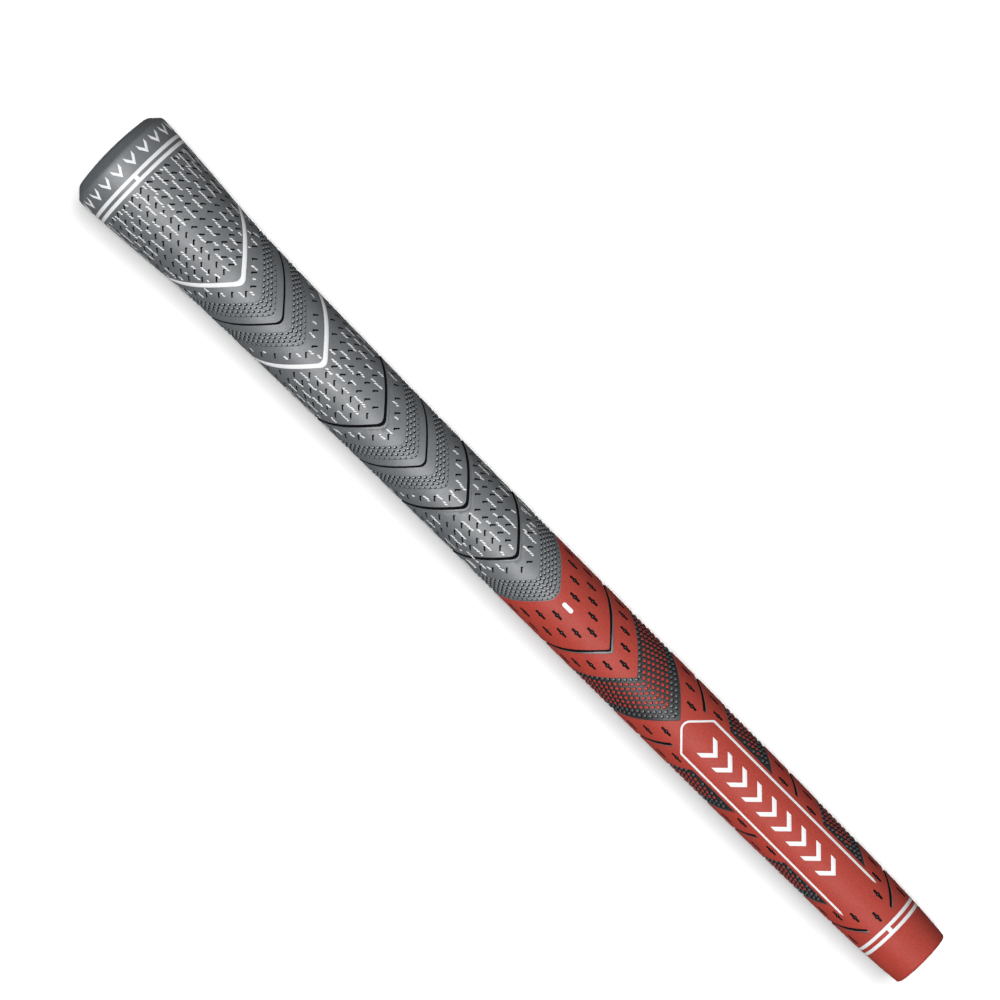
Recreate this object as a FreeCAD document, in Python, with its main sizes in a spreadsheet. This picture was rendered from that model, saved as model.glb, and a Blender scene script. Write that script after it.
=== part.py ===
import FreeCAD, Part
import math
import os
import Sketcher
from FreeCAD import Vector

# A moulded golf grip for a round, tapered club shaft.
# Frame: X is the shaft axis, the origin is the centre of the mouth face, the closed
# butt points to -X, and +Z is the top line, which carries the alignment mark and badge.
# A station is a distance in mm from the butt crown, so x = station - overall_length.

DIMENSIONS = [
    ("overall_length", 270.0, "butt crown to mouth face"),
    # Outer outline: chamfered butt rim, then a spline through the flare, waist and nose.
    ("crown_rise", 0.9, "height of the domed butt face"),
    ("crown_radius", 11.4, "edge of the domed butt face"),
    ("lip_radius", 0.6, "rounding of the mouth's outer corner"),
    ("outline_station_1", 3.3, "control point of the outline: butt rim"),
    ("outline_station_2", 16.0, "control point of the outline"),
    ("outline_station_3", 30.0, "control point of the outline"),
    ("outline_station_4", 38.0, "control point of the outline: end of the flare"),
    ("outline_station_5", 70.0, "control point of the outline"),
    ("outline_station_6", 120.0, "control point of the outline"),
    ("outline_station_7", 190.0, "control point of the outline"),
    ("outline_station_8", 240.0, "control point of the outline"),
    ("outline_station_9", 262.0, "control point of the outline: nose"),
    ("outline_station_10", 269.4, "control point of the outline: mouth corner"),
    ("outline_radius_1", 13.9, "radius of control point 1"),
    ("outline_radius_2", 13.2, "radius of control point 2"),
    ("outline_radius_3", 11.95, "radius of control point 3"),
    ("outline_radius_4", 11.3, "radius of control point 4"),
    ("outline_radius_5", 10.55, "radius of control point 5"),
    ("outline_radius_6", 9.8, "radius of control point 6"),
    ("outline_radius_7", 9.75, "radius of control point 7"),
    ("outline_radius_8", 9.1, "radius of control point 8"),
    ("outline_radius_9", 8.6, "radius of control point 9"),
    ("outline_radius_10", 7.75, "radius of control point 10"),
    # Core sleeve: the base rubber that lines the bore from the butt wall to the mouth.
    ("butt_wall", 4.5, "thickness of the cap's end wall"),
    ("core_flare_end", 40.0, "station where the core's flare ends"),
    ("core_waist_end", 160.0, "station where the core's waist ends"),
    ("core_nose", 262.0, "station where the core's nose starts"),
    ("core_radius_butt", 11.9, "core outside radius at the butt wall"),
    ("core_radius_flare", 9.75, "core outside radius at the end of the flare"),
    ("core_radius_waist", 8.45, "core outside radius at the end of the waist"),
    ("core_radius_nose", 7.2, "core outside radius at the nose"),
    ("core_radius_mouth", 6.9, "core outside radius at the mouth face"),
    ("seat_radius", 7.62, "bore radius at the shaft's butt: 0.600 inch shaft"),
    ("seat_end", 60.0, "station where the parallel seat ends"),
    ("land_radius", 6.2, "bore radius of the parallel land at the mouth"),
    ("land_length", 14.0, "length of the land at the mouth"),
    ("vent_radius", 1.7, "air vent through the middle of the butt wall"),
    # Cap, cord ply and the depths of what is let into the outer skin.
    ("cap_skirt_end", 11.5, "station where the cap meets the corded upper sleeve"),
    ("ply_thickness", 0.35, "cotton cord fabric laid on the core"),
    ("ply_end", 134.0, "station where the cord fabric stops"),
    ("paint_depth", 0.45, "depth of the paint-filled marks and of the moulded grooves"),
    ("inlay_depth", 0.8, "depth of the dark mesh inlays"),
    # Chevrons: a V that points to the mouth on the top line and on the underside.
    ("upper_slope", 0.87, "axial fall of an upper V per radius of arc"),
    ("upper_apex_round", 7.0, "angle over which an upper V turns at its point"),
    ("upper_valley_start", 72.0, "angle where an upper V starts to level out"),
    ("lower_slope", 0.92, "axial fall of a lower V per radius of arc"),
    ("lower_apex_round", 1.5, "angle over which a lower V turns at its point"),
    ("lower_valley_start", 68.0, "angle where a lower V starts to level out"),
    ("split_slope", 0.83, "axial fall of the colour split's V per radius of arc"),
    ("split_apex_round", 14.0, "angle over which the colour split turns at its point"),
    ("split_valley_start", 75.0, "angle where the colour split starts to level out"),
    ("colour_split", 148.2, "station of the V where the upper compound ends"),
    ("white_chevron_width", 1.4, "axial width of a white chevron"),
    ("white_chevron_station_1", 43.35, "butt-side point of the first white chevron"),
    ("white_chevron_station_2", 70.35, "butt-side point of the second white chevron"),
    ("groove_width", 0.7, "axial width of a moulded groove"),
    ("groove_station_1", 56.8, "butt-side point of moulded groove 1"),
    ("groove_station_2", 90.3, "butt-side point of moulded groove 2"),
    ("groove_station_3", 104.0, "butt-side point of moulded groove 3"),
    ("groove_station_4", 117.6, "butt-side point of moulded groove 4"),
    ("groove_station_5", 134.3, "butt-side point of moulded groove 5"),
    ("lower_pitch", 30.95, "axial repeat of the lower pattern"),
    ("dark_chevron_width", 1.3, "axial width of a dark chevron"),
    ("dark_chevron_station", 165.6, "butt-side point of the first dark chevron"),
    ("dark_chevron_gap_2", 5.4, "half width cleared beside the badge at dark chevron 2"),
    ("dark_chevron_gap_3", 6.7, "half width cleared beside the badge at dark chevron 3"),
    ("dark_limit", 256.3, "station where dark chevron 4 is cut off, short of the mouth rings"),
    ("mesh_width", 14.3, "axial width of a mesh inlay"),
    ("mesh_station", 174.85, "butt-side point of the first mesh inlay"),
    ("mesh_gap", 6.3, "half width cleared beside the badge at mesh inlays 2 and 3"),
    # Painted rings, marks and badge.
    ("butt_ring_station_1", 8.5, "start of the first butt ring"),
    ("butt_ring_station_2", 10.2, "start of the second butt ring"),
    ("butt_ring_width", 1.1, "width of a butt ring"),
    ("mouth_ring_station_1", 257.5, "start of the first mouth ring"),
    ("mouth_ring_station_2", 259.3, "start of the second mouth ring"),
    ("mouth_ring_width", 0.85, "width of a mouth ring"),
    ("link_width", 1.1, "width of the short bar that joins a pair of rings"),
    ("mark_station", 150.3, "start of the alignment mark"),
    ("mark_length", 3.2, "length of the alignment mark"),
    ("mark_width", 1.1, "width of the alignment mark"),
    ("badge_shoulder", 195.0, "station of the badge's two shoulders"),
    ("badge_end", 248.9, "station where the badge's outline stops"),
    ("badge_half_width", 5.45, "half width of the badge's outline"),
    ("badge_tip_radius", 2.05, "rounding of the badge's point"),
    ("badge_line", 0.55, "width of the badge's outline"),
    ("motif_start", 200.2, "station of the first chevron of the badge motif"),
    ("motif_pitch", 4.9, "axial repeat of the badge motif"),
    ("motif_count", 9, "chevrons in the badge motif"),
    ("motif_half_width", 2.7, "half width of a badge chevron"),
    ("motif_line", 1.5, "axial width of a badge chevron's stroke"),
    ("cap_motif_station", 7.5, "point of the cap's small chevrons"),
    ("cap_motif_count", 20, "chevrons around the cap"),
    ("cap_motif_half_width", 1.35, "half width of a cap chevron"),
    ("cap_motif_rise", 2.0, "axial length of a cap chevron's arms"),
    ("cap_motif_line", 1.2, "axial width of a cap chevron's stroke"),
]

OUTLINE_POINTS = 10
CUTTER_RADIUS = 20.0
CUTTER_INNER = 5.5
CUTTER_OUTER = 15.0
SECTIONS_PER_QUARTER = 6

doc = FreeCAD.newDocument("golf_grip")
sheet = doc.addObject("Spreadsheet::Sheet", "dims")


def fill_sheet():
    """Write each driving dimension as a row: name, value with its alias, note."""
    for row, (name, value, note) in enumerate(DIMENSIONS, start=1):
        sheet.set("A%d" % row, name)
        sheet.set("B%d" % row, str(value))
        sheet.set("C%d" % row, note)
        sheet.setAlias("B%d" % row, name)
    doc.recompute()


def size(name):
    """Value of a driving dimension."""
    return float(sheet.get(name))


def station_x(station):
    """Row-frame x of a station."""
    return station - size("overall_length")


def bind(obj, **links):
    """Bind properties of an object to expressions on the sheet."""
    for prop, expression in links.items():
        obj.setExpression(prop, expression)


# ---------------------------------------------------------------- outlines

def outline_curve(inset=0.0):
    """The outer outline as a cubic spline in the X, radius plane."""
    poles = []
    for i in range(1, OUTLINE_POINTS + 1):
        x = station_x(size("outline_station_%d" % i))
        poles.append(Vector(x, size("outline_radius_%d" % i) - inset, 0))
    return Part.BSplineCurve(poles, None, None, False, 3, None, False)


def outline_radius(station):
    """Outer radius at a station, found by halving the spline's parameter range."""
    curve = outline_curve()
    target = station_x(station)
    low, high = curve.FirstParameter, curve.LastParameter
    for _ in range(40):
        middle = (low + high) / 2
        if curve.value(middle).x < target:
            low = middle
        else:
            high = middle
    return curve.value(low).y


def new_profile(label):
    """A body with an empty sketch on its XZ plane, X along the shaft."""
    body = doc.addObject("PartDesign::Body", label)
    sketch = body.newObject("Sketcher::SketchObject", label + "_profile")
    planes = [p for p in body.Origin.OriginFeatures if p.Role == "XZ_Plane"]
    sketch.AttachmentSupport = [(planes[0], "")]
    sketch.MapMode = "FlatFace"
    return body, sketch


def pin_point(sketch, geometry, end, name, point, x_formula, r_formula):
    """Hold one sketch point by two named constraints that read the sheet."""
    for kind, suffix, value, formula in (("DistanceX", "_x", point.x, x_formula),
                                         ("DistanceY", "_r", point.y, r_formula)):
        index = sketch.addConstraint(Sketcher.Constraint(kind, -1, 1, geometry, end, value))
        sketch.renameConstraint(index, name + suffix)
        sketch.setExpression("Constraints." + name + suffix, formula)


def add_outline(sketch, inset, inset_formula):
    """Add the outline spline with its control points bound to the sheet."""
    curve = outline_curve(inset)
    spline = sketch.addGeometry(curve, False)
    sketch.exposeInternalGeometry(spline)
    for i, pole in enumerate(curve.getPoles(), start=1):
        pin_point(sketch, spline + i, 3, "pole_%d" % i, pole,
                  "dims.outline_station_%d - dims.overall_length" % i,
                  "dims.outline_radius_%d%s" % (i, inset_formula))
    return spline, curve


def add_lines(sketch, points):
    """Add straight runs through the points and return their indices."""
    return [sketch.addGeometry(Part.LineSegment(a, b), False)
            for a, b in zip(points, points[1:])]


def join(sketch, chain):
    """Join the end of each piece of a chain to the start of the next."""
    for (first, end), (second, start) in chain:
        sketch.addConstraint(Sketcher.Constraint("Coincident", first, end, second, start))


def revolve(body, sketch):
    """Turn a closed profile a full turn about the shaft axis."""
    turn = body.newObject("PartDesign::Revolution", body.Name + "_turn")
    turn.Profile = sketch
    turn.ReferenceAxis = (sketch, ["H_Axis"])
    turn.Angle = 360
    doc.recompute()
    return body


def make_outer_form():
    """The whole outside of the grip: crowned butt, outline and rounded mouth lip."""
    body, sketch = new_profile("outer_form")
    spline, curve = add_outline(sketch, 0.0, "")
    rim = curve.value(curve.FirstParameter)
    corner = curve.value(curve.LastParameter)
    lip = size("lip_radius")
    crown = Vector(station_x(size("crown_rise")), size("crown_radius"), 0)
    pole = Vector(station_x(0.0), 0, 0)
    mouth = Vector(corner.x + lip, corner.y - lip, 0)
    centre = Vector(mouth.x, 0, 0)
    lip_middle = Vector(corner.x + lip * math.sin(math.pi / 4),
                        corner.y - lip * (1 - math.cos(math.pi / 4)), 0)
    lip_arc = sketch.addGeometry(Part.Arc(corner, lip_middle, mouth), False)
    face, axis = add_lines(sketch, [mouth, centre, pole])
    dome_radius = (crown.y ** 2 + size("crown_rise") ** 2) / (2 * size("crown_rise"))
    half_angle = math.asin(crown.y / dome_radius) / 2
    dome_middle = Vector(pole.x + dome_radius * (1 - math.cos(half_angle)),
                         dome_radius * math.sin(half_angle), 0)
    dome = sketch.addGeometry(Part.Arc(pole, dome_middle, crown), False)
    chamfer = add_lines(sketch, [crown, rim])[0]
    # Part.Arc keeps counter-clockwise arcs, so both of these run from their second point.
    join(sketch, [((spline, 2), (lip_arc, 2)), ((lip_arc, 1), (face, 1)), ((face, 2), (axis, 1)),
                  ((axis, 2), (dome, 2)), ((dome, 1), (chamfer, 1)), ((chamfer, 2), (spline, 1))])
    pin_point(sketch, axis, 2, "butt_pole", pole, "-dims.overall_length", "0")
    pin_point(sketch, axis, 1, "mouth_centre", centre,
              "dims.outline_station_10 + dims.lip_radius - dims.overall_length", "0")
    pin_point(sketch, face, 1, "mouth_edge", mouth,
              "dims.outline_station_10 + dims.lip_radius - dims.overall_length",
              "dims.outline_radius_10 - dims.lip_radius")
    pin_point(sketch, chamfer, 1, "crown_edge", crown,
              "dims.crown_rise - dims.overall_length", "dims.crown_radius")
    index = sketch.addConstraint(Sketcher.Constraint("Radius", lip_arc, lip))
    sketch.renameConstraint(index, "lip")
    sketch.setExpression("Constraints.lip", "dims.lip_radius")
    index = sketch.addConstraint(Sketcher.Constraint("Radius", dome, dome_radius))
    sketch.renameConstraint(index, "dome")
    sketch.setExpression("Constraints.dome",
                         "(dims.crown_radius ^ 2 + dims.crown_rise ^ 2) / (2 * dims.crown_rise)")
    return revolve(body, sketch)


def make_floor_form(label, depth):
    """The outer form shrunk by a depth: the floor of what is let into the skin."""
    body, sketch = new_profile(label)
    spline, curve = add_outline(sketch, size(depth), " - dims." + depth)
    rim = curve.value(curve.FirstParameter)
    corner = curve.value(curve.LastParameter)
    nose, axis, butt = add_lines(
        sketch, [corner, Vector(corner.x, 0, 0), Vector(rim.x, 0, 0), rim])
    join(sketch, [((spline, 2), (nose, 1)), ((nose, 2), (axis, 1)),
                  ((axis, 2), (butt, 1)), ((butt, 2), (spline, 1))])
    sketch.addConstraint([Sketcher.Constraint("Vertical", nose),
                          Sketcher.Constraint("Vertical", butt),
                          Sketcher.Constraint("PointOnObject", axis, 1, -1),
                          Sketcher.Constraint("PointOnObject", axis, 2, -1)])
    return revolve(body, sketch)


def make_turned_form(label, knots, extra=""):
    """A form of straight and conical runs: each knot is (station formula, radius name)."""
    body, sketch = new_profile(label)
    added = size(extra) if extra else 0.0
    more = " + dims." + extra if extra else ""
    points = []
    for stations, radius in knots:
        station = sum(sign * size(name) for name, sign in stations)
        points.append(Vector(station_x(station), size(radius) + added, 0))
    first = Vector(points[0].x, 0, 0)
    last = Vector(points[-1].x, 0, 0)
    runs = add_lines(sketch, [first] + points + [last, first])
    join(sketch, [((a, 2), (b, 1)) for a, b in zip(runs, runs[1:] + runs[:1])])
    for i, ((stations, radius), point) in enumerate(zip(knots, points), start=1):
        terms = " ".join("%s dims.%s" % ("+" if sign > 0 else "-", name)
                         for name, sign in stations)
        pin_point(sketch, runs[i], 1, "knot_%d" % i, point,
                  "0 %s - dims.overall_length" % terms,
                  "dims.%s%s" % (radius, more))
    sketch.addConstraint([Sketcher.Constraint("Vertical", runs[0]),
                          Sketcher.Constraint("PointOnObject", runs[0], 1, -1),
                          Sketcher.Constraint("Vertical", runs[-2]),
                          Sketcher.Constraint("PointOnObject", runs[-2], 2, -1)])
    return revolve(body, sketch)


# ---------------------------------------------------------------- booleans

def cut(label, base, tool):
    """Base without tool."""
    obj = doc.addObject("Part::Cut", label)
    obj.Base = base
    obj.Tool = tool
    return obj


def cut_all(label, base, tools):
    """Base without each of the tools, one cut after another."""
    for i, tool in enumerate(tools[:-1], start=1):
        base = cut("%s_cut_%d" % (label, i), base, tool)
    return cut(label, base, tools[-1])


def common(label, *shapes):
    """What all the shapes share."""
    obj = doc.addObject("Part::MultiCommon", label)
    obj.Shapes = list(shapes)
    return obj


def fuse(label, shapes):
    """All the shapes in one."""
    obj = doc.addObject("Part::MultiFuse", label)
    obj.Shapes = list(shapes)
    return obj


def disc(label, start, length, radius):
    """A cylinder on the shaft axis from one station, sized by sheet formulas."""
    obj = doc.addObject("Part::Cylinder", label)
    obj.Placement = FreeCAD.Placement(Vector(0, 0, 0), FreeCAD.Rotation(Vector(0, 1, 0), 90))
    bind(obj, Height=length, Radius=radius)
    obj.setExpression("Placement.Base.x", start + " - dims.overall_length")
    return obj


def top_box(label, start, length, width):
    """An upright box on the top line, from the shaft axis to outside the skin."""
    obj = doc.addObject("Part::Box", label)
    bind(obj, Length=length, Width=width)
    obj.Height = CUTTER_RADIUS
    obj.setExpression("Placement.Base.x", start + " - dims.overall_length")
    obj.setExpression("Placement.Base.y", "-(" + width + ") / 2")
    return obj


def shaped(label, shape):
    """A cutter whose shape is made by Part's own functions."""
    obj = doc.addObject("Part::Feature", label)
    obj.Shape = shape
    return obj


# ---------------------------------------------------------------- chevron cutters

def chevron_fall(angle, family):
    """Axial fall behind the point, in radii, at an angle from the point's line.

    The V turns from level to its slope near the point, runs straight, and levels out
    again towards the next quarter."""
    slope = size(family + "_slope")
    turn = math.radians(size(family + "_apex_round"))
    valley = math.radians(size(family + "_valley_start"))
    if angle <= turn:
        return slope * angle ** 2 / (2 * turn)
    if angle <= valley:
        return slope * (angle - turn / 2)
    rest = angle - valley
    span = math.pi / 2 - valley
    return slope * (valley - turn / 2 + rest - rest ** 2 / (2 * span))


def chevron_section(x, width, turn):
    """Radial rectangle at one angle about the shaft."""
    corners = [(x, CUTTER_INNER), (x + width, CUTTER_INNER),
               (x + width, CUTTER_OUTER), (x, CUTTER_OUTER), (x, CUTTER_INNER)]
    return Part.makePolygon([Vector(px, r * math.sin(turn), r * math.cos(turn))
                             for px, r in corners])


def chevron_ring(start_station, width, family):
    """A ring of constant axial width whose faces zigzag twice around the shaft.

    The start is the station of its butt-side point."""
    radius = outline_radius(start_station)
    tip = station_x(start_station)
    quarters = []
    for quarter in range(4):
        sections = []
        for step in range(SECTIONS_PER_QUARTER + 1):
            inside = math.pi / 2 * step / SECTIONS_PER_QUARTER
            from_point = inside if quarter % 2 == 0 else math.pi / 2 - inside
            x = tip - radius * chevron_fall(from_point, family)
            sections.append(chevron_section(x, width, quarter * math.pi / 2 + inside))
        quarters.append(Part.makeLoft(sections, True, False))
    return quarters[0].fuse(quarters[1:]).removeSplitter()


# ---------------------------------------------------------------- badge and motifs

def badge_plan(offset):
    """Plan of the badge, grown by an offset: a point with a rounded tip, open at the mouth end."""
    half = size("badge_half_width") + offset
    radius = size("badge_tip_radius") + offset
    shoulder = station_x(size("badge_shoulder")) - offset * math.tan(math.pi / 8)
    virtual_tip = shoulder - half
    end = station_x(size("badge_end"))
    along = radius * math.tan(math.pi / 4)
    step = along * math.cos(math.pi / 4)
    start = Vector(virtual_tip + step, step, 0)
    finish = Vector(virtual_tip + step, -step, 0)
    middle = Vector(virtual_tip + radius * (math.sqrt(2) - 1), 0, 0)
    outline = [Part.Arc(start, middle, finish).toShape()]
    corners = [finish, Vector(shoulder, -half, 0), Vector(end, -half, 0),
               Vector(end, half, 0), Vector(shoulder, half, 0), start]
    outline += [Part.makeLine(a, b) for a, b in zip(corners, corners[1:])]
    return Part.Face(Part.Wire(outline))


def badge_outline_cutter():
    """Upright wall along the badge's outline."""
    half_line = size("badge_line") / 2
    up = Vector(0, 0, CUTTER_RADIUS)
    outer = badge_plan(half_line).extrude(up)
    return outer.cut(badge_plan(-half_line).extrude(up))


def arrow(point_x, half_width, rise, line):
    """Plan of a chevron stroke that points to +X."""
    points = [(point_x, 0), (point_x - rise, half_width), (point_x - rise - line, half_width),
              (point_x - line, 0), (point_x - rise - line, -half_width),
              (point_x - rise, -half_width), (point_x, 0)]
    return Part.Face(Part.makePolygon([Vector(x, y, 0) for x, y in points]))


def badge_motif_cutter():
    """A row of plain chevrons along the badge."""
    half = size("motif_half_width")
    prisms = []
    for i in range(int(size("motif_count"))):
        point = station_x(size("motif_start") + i * size("motif_pitch")) + half / 2
        prisms.append(arrow(point, half, half, size("motif_line")).extrude(
            Vector(0, 0, CUTTER_RADIUS)))
    return Part.makeCompound(prisms)


def cap_motif_cutter():
    """A ring of small plain chevrons around the cap."""
    count = int(size("cap_motif_count"))
    point = station_x(size("cap_motif_station"))
    prism = arrow(point, size("cap_motif_half_width"), size("cap_motif_rise"),
                  size("cap_motif_line")).extrude(Vector(0, 0, CUTTER_RADIUS))
    prisms = []
    for i in range(count):
        copy = prism.copy()
        copy.rotate(Vector(0, 0, 0), Vector(1, 0, 0), 360.0 * (i + 0.5) / count)
        prisms.append(copy)
    return Part.makeCompound(prisms)


# ---------------------------------------------------------------- sub-parts

def make_forms():
    """The turned forms that the sub-parts are cut from."""
    forms = {"outer": make_outer_form(),
             "paint_floor": make_floor_form("paint_floor_form", "paint_depth"),
             "inlay_floor": make_floor_form("inlay_floor_form", "inlay_depth")}
    core_knots = [([("butt_wall", 1)], "core_radius_butt"),
                  ([("core_flare_end", 1)], "core_radius_flare"),
                  ([("core_waist_end", 1)], "core_radius_waist"),
                  ([("core_nose", 1)], "core_radius_nose"),
                  ([("overall_length", 1)], "core_radius_mouth")]
    bore_knots = [([("butt_wall", 1)], "seat_radius"),
                  ([("seat_end", 1)], "seat_radius"),
                  ([("overall_length", 1), ("land_length", -1)], "land_radius"),
                  ([("overall_length", 1)], "land_radius")]
    forms["core"] = make_turned_form("core_form", core_knots)
    forms["ply"] = make_turned_form("ply_form", core_knots, "ply_thickness")
    forms["bore"] = make_turned_form("bore_form", bore_knots)
    forms["shell"] = cut("shell_form", forms["outer"], forms["core"])
    forms["paint"] = cut("paint_layer", forms["outer"], forms["paint_floor"])
    forms["inlay"] = cut("inlay_layer", forms["outer"], forms["inlay_floor"])
    return forms


def make_ring_pair(label, layer, end):
    """Two painted rings and the short bar that joins them on the top line."""
    first, second = ("dims.%s_ring_station_%d" % (end, i) for i in (1, 2))
    width = "dims.%s_ring_width" % end
    tools = [disc("%s_zone_%d" % (label, i), start, width, str(CUTTER_RADIUS))
             for i, start in enumerate((first, second), start=1)]
    tools.append(top_box(label + "_link", first, "%s - %s + %s" % (second, first, width),
                         "dims.link_width"))
    return common(label, layer, fuse(label + "_zone", tools))


def make_cap_fills(forms):
    """Painted rings and small chevrons of the end cap."""
    motif = common("cap_motif", forms["paint"], shaped("cap_motif_zone", cap_motif_cutter()))
    return [make_ring_pair("butt_rings", forms["paint"], "butt"), motif]


def make_upper_fills(forms):
    """The two white chevrons of the upper sleeve."""
    fills = []
    for i in (1, 2):
        ring = chevron_ring(size("white_chevron_station_%d" % i),
                            size("white_chevron_width"), "upper")
        zone = shaped("white_chevron_%d_zone" % i, ring)
        fills.append(common("white_chevron_%d" % i, forms["paint"], zone))
    return fills


def make_groove_tools(forms):
    """Moulded V grooves of the upper sleeve."""
    tools = []
    for i in range(1, 6):
        ring = chevron_ring(size("groove_station_%d" % i), size("groove_width"), "upper")
        zone = shaped("groove_%d_zone" % i, ring)
        tools.append(common("groove_%d" % i, forms["paint"], zone))
    return tools


def make_dark_inlays(forms):
    """Mesh inlays and dark chevrons of the lower sleeve, cleared around the badge."""
    inlays = []
    for i in range(4):
        shift = i * size("lower_pitch")
        ring = chevron_ring(size("dark_chevron_station") + shift,
                            size("dark_chevron_width"), "lower")
        zone = shaped("dark_chevron_%d_zone" % (i + 1), ring)
        if i in (1, 2):
            gap = "2 * dims.dark_chevron_gap_%d" % (i + 1)
            clear = top_box("dark_chevron_%d_clear" % (i + 1), "dims.mesh_station",
                            "dims.overall_length - dims.mesh_station", gap)
            zone = cut("dark_chevron_%d_sides" % (i + 1), zone, clear)
        if i == 3:
            clear = disc("dark_chevron_4_clear", "dims.dark_limit",
                         "dims.overall_length - dims.dark_limit", str(CUTTER_RADIUS))
            zone = cut("dark_chevron_4_sides", zone, clear)
        inlays.append(common("dark_chevron_%d" % (i + 1), forms["paint"], zone))
    for i in range(3):
        ring = chevron_ring(size("mesh_station") + i * size("lower_pitch"),
                            size("mesh_width"), "lower")
        zone = shaped("mesh_band_%d_zone" % (i + 1), ring)
        if i > 0:
            clear = top_box("mesh_band_%d_clear" % (i + 1), "dims.mesh_station",
                            "dims.overall_length - dims.mesh_station", "2 * dims.mesh_gap")
            zone = cut("mesh_band_%d_sides" % (i + 1), zone, clear)
        inlays.append(common("mesh_band_%d" % (i + 1), forms["inlay"], zone))
    return inlays


def make_alignment_mark(forms):
    """A short painted bar with round ends on the top line."""
    radius = "dims.mark_width / 2"
    bar = top_box("mark_bar", "dims.mark_station + " + radius,
                  "dims.mark_length - dims.mark_width", "dims.mark_width")
    ends = []
    for i, centre in enumerate(("dims.mark_station + " + radius,
                                "dims.mark_station + dims.mark_length - " + radius), start=1):
        end = doc.addObject("Part::Cylinder", "mark_end_%d" % i)
        end.Height = CUTTER_RADIUS
        end.setExpression("Radius", radius)
        end.setExpression("Placement.Base.x", centre + " - dims.overall_length")
        ends.append(end)
    return common("alignment_mark", forms["paint"], fuse("mark_zone", [bar] + ends))


def make_lower_fills(forms):
    """Painted marks of the lower sleeve."""
    outline = common("badge_outline", forms["paint"],
                     shaped("badge_outline_zone", badge_outline_cutter()))
    motif = common("badge_motif", forms["paint"],
                   shaped("badge_motif_zone", badge_motif_cutter()))
    return [make_alignment_mark(forms), outline, motif,
            make_ring_pair("mouth_rings", forms["paint"], "mouth")]


def make_grip():
    """Build every sub-part and return the ones that are separate physical pieces."""
    forms = make_forms()
    doc.recompute()
    cap_fills = make_cap_fills(forms)
    upper_fills = make_upper_fills(forms)
    grooves = make_groove_tools(forms)
    dark_inlays = make_dark_inlays(forms)
    lower_fills = make_lower_fills(forms)

    core_sleeve = cut("core_sleeve", forms["core"], forms["bore"])
    ply_zone = disc("ply_zone", "dims.cap_skirt_end", "dims.ply_end - dims.cap_skirt_end",
                    str(CUTTER_RADIUS))
    cord_ply = common("cord_ply", cut("ply_tube", forms["ply"], forms["core"]), ply_zone)

    cap_zone = disc("cap_zone", "-1", "dims.cap_skirt_end + 1", str(CUTTER_RADIUS))
    vent = disc("vent", "-1", "dims.butt_wall + 2", "dims.vent_radius")
    cap_blank = common("cap_blank", forms["shell"], cap_zone)
    end_cap = cut_all("end_cap", cap_blank, [vent] + cap_fills)

    lower_zone = shaped("lower_zone", chevron_ring(size("colour_split"),
                                                   size("overall_length"), "split"))
    lower_blank = common("lower_blank", forms["shell"], lower_zone)
    lower_sleeve = cut_all("lower_sleeve", lower_blank, dark_inlays + lower_fills)

    upper_sleeve = cut_all("upper_sleeve", forms["shell"],
                           [cap_zone, lower_zone, cord_ply] + upper_fills + grooves)
    return ([end_cap, core_sleeve, cord_ply, upper_sleeve, lower_sleeve]
            + cap_fills + upper_fills + dark_inlays + lower_fills)


def check_document(pieces):
    """Stop if any object failed or any sub-part has no valid shape."""
    for obj in doc.Objects:
        if "Invalid" in obj.State or "Error" in obj.State:
            raise RuntimeError("%s failed: %s" % (obj.Name, obj.State))
    for piece in pieces:
        if piece.Shape.isNull() or not piece.Shape.isValid():
            raise RuntimeError("%s has no valid shape" % piece.Label)


def export(pieces):
    """Write each sub-part to parts/LABEL.step."""
    os.makedirs("parts", exist_ok=True)
    for piece in pieces:
        piece.Shape.exportStep("parts/%s.step" % piece.Label)
        print("%-18s %2d solid(s) %10.1f mm3" % (piece.Label, len(piece.Shape.Solids),
                                                piece.Shape.Volume))


fill_sheet()
SUB_PARTS = make_grip()
doc.recompute()
check_document(SUB_PARTS)
export(SUB_PARTS)
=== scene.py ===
import math
import random

import bmesh
import bpy
import numpy as np
from mathutils import Matrix, Vector, kdtree
from mathutils.geometry import delaunay_2d_cdt


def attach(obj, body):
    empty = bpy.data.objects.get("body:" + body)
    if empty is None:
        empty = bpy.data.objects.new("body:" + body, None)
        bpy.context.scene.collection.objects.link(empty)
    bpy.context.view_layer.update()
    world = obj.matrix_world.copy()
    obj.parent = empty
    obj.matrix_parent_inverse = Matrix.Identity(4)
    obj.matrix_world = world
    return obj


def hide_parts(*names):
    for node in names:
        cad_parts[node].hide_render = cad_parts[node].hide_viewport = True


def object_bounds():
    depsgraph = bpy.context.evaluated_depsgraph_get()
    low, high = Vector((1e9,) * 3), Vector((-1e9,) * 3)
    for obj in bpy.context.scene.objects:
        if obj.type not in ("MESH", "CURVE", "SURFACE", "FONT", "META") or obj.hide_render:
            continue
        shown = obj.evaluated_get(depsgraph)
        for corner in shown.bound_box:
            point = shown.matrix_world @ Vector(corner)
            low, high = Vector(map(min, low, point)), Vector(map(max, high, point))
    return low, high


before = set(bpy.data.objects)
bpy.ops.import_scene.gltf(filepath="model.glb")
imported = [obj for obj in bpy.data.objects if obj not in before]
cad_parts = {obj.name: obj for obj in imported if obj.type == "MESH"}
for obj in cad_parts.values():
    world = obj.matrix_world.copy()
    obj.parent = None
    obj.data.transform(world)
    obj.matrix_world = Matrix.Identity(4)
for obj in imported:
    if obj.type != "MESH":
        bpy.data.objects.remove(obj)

# Lengths below are in mm and angles in degrees. A station is the distance from the butt
# crown along the grip, an angle is measured about the shaft axis from the top line (+Z)
# towards +Y, and a height is measured outwards from the smooth outline.

CAD_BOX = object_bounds()
MM = 0.001
LENGTH = 270.0

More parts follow.
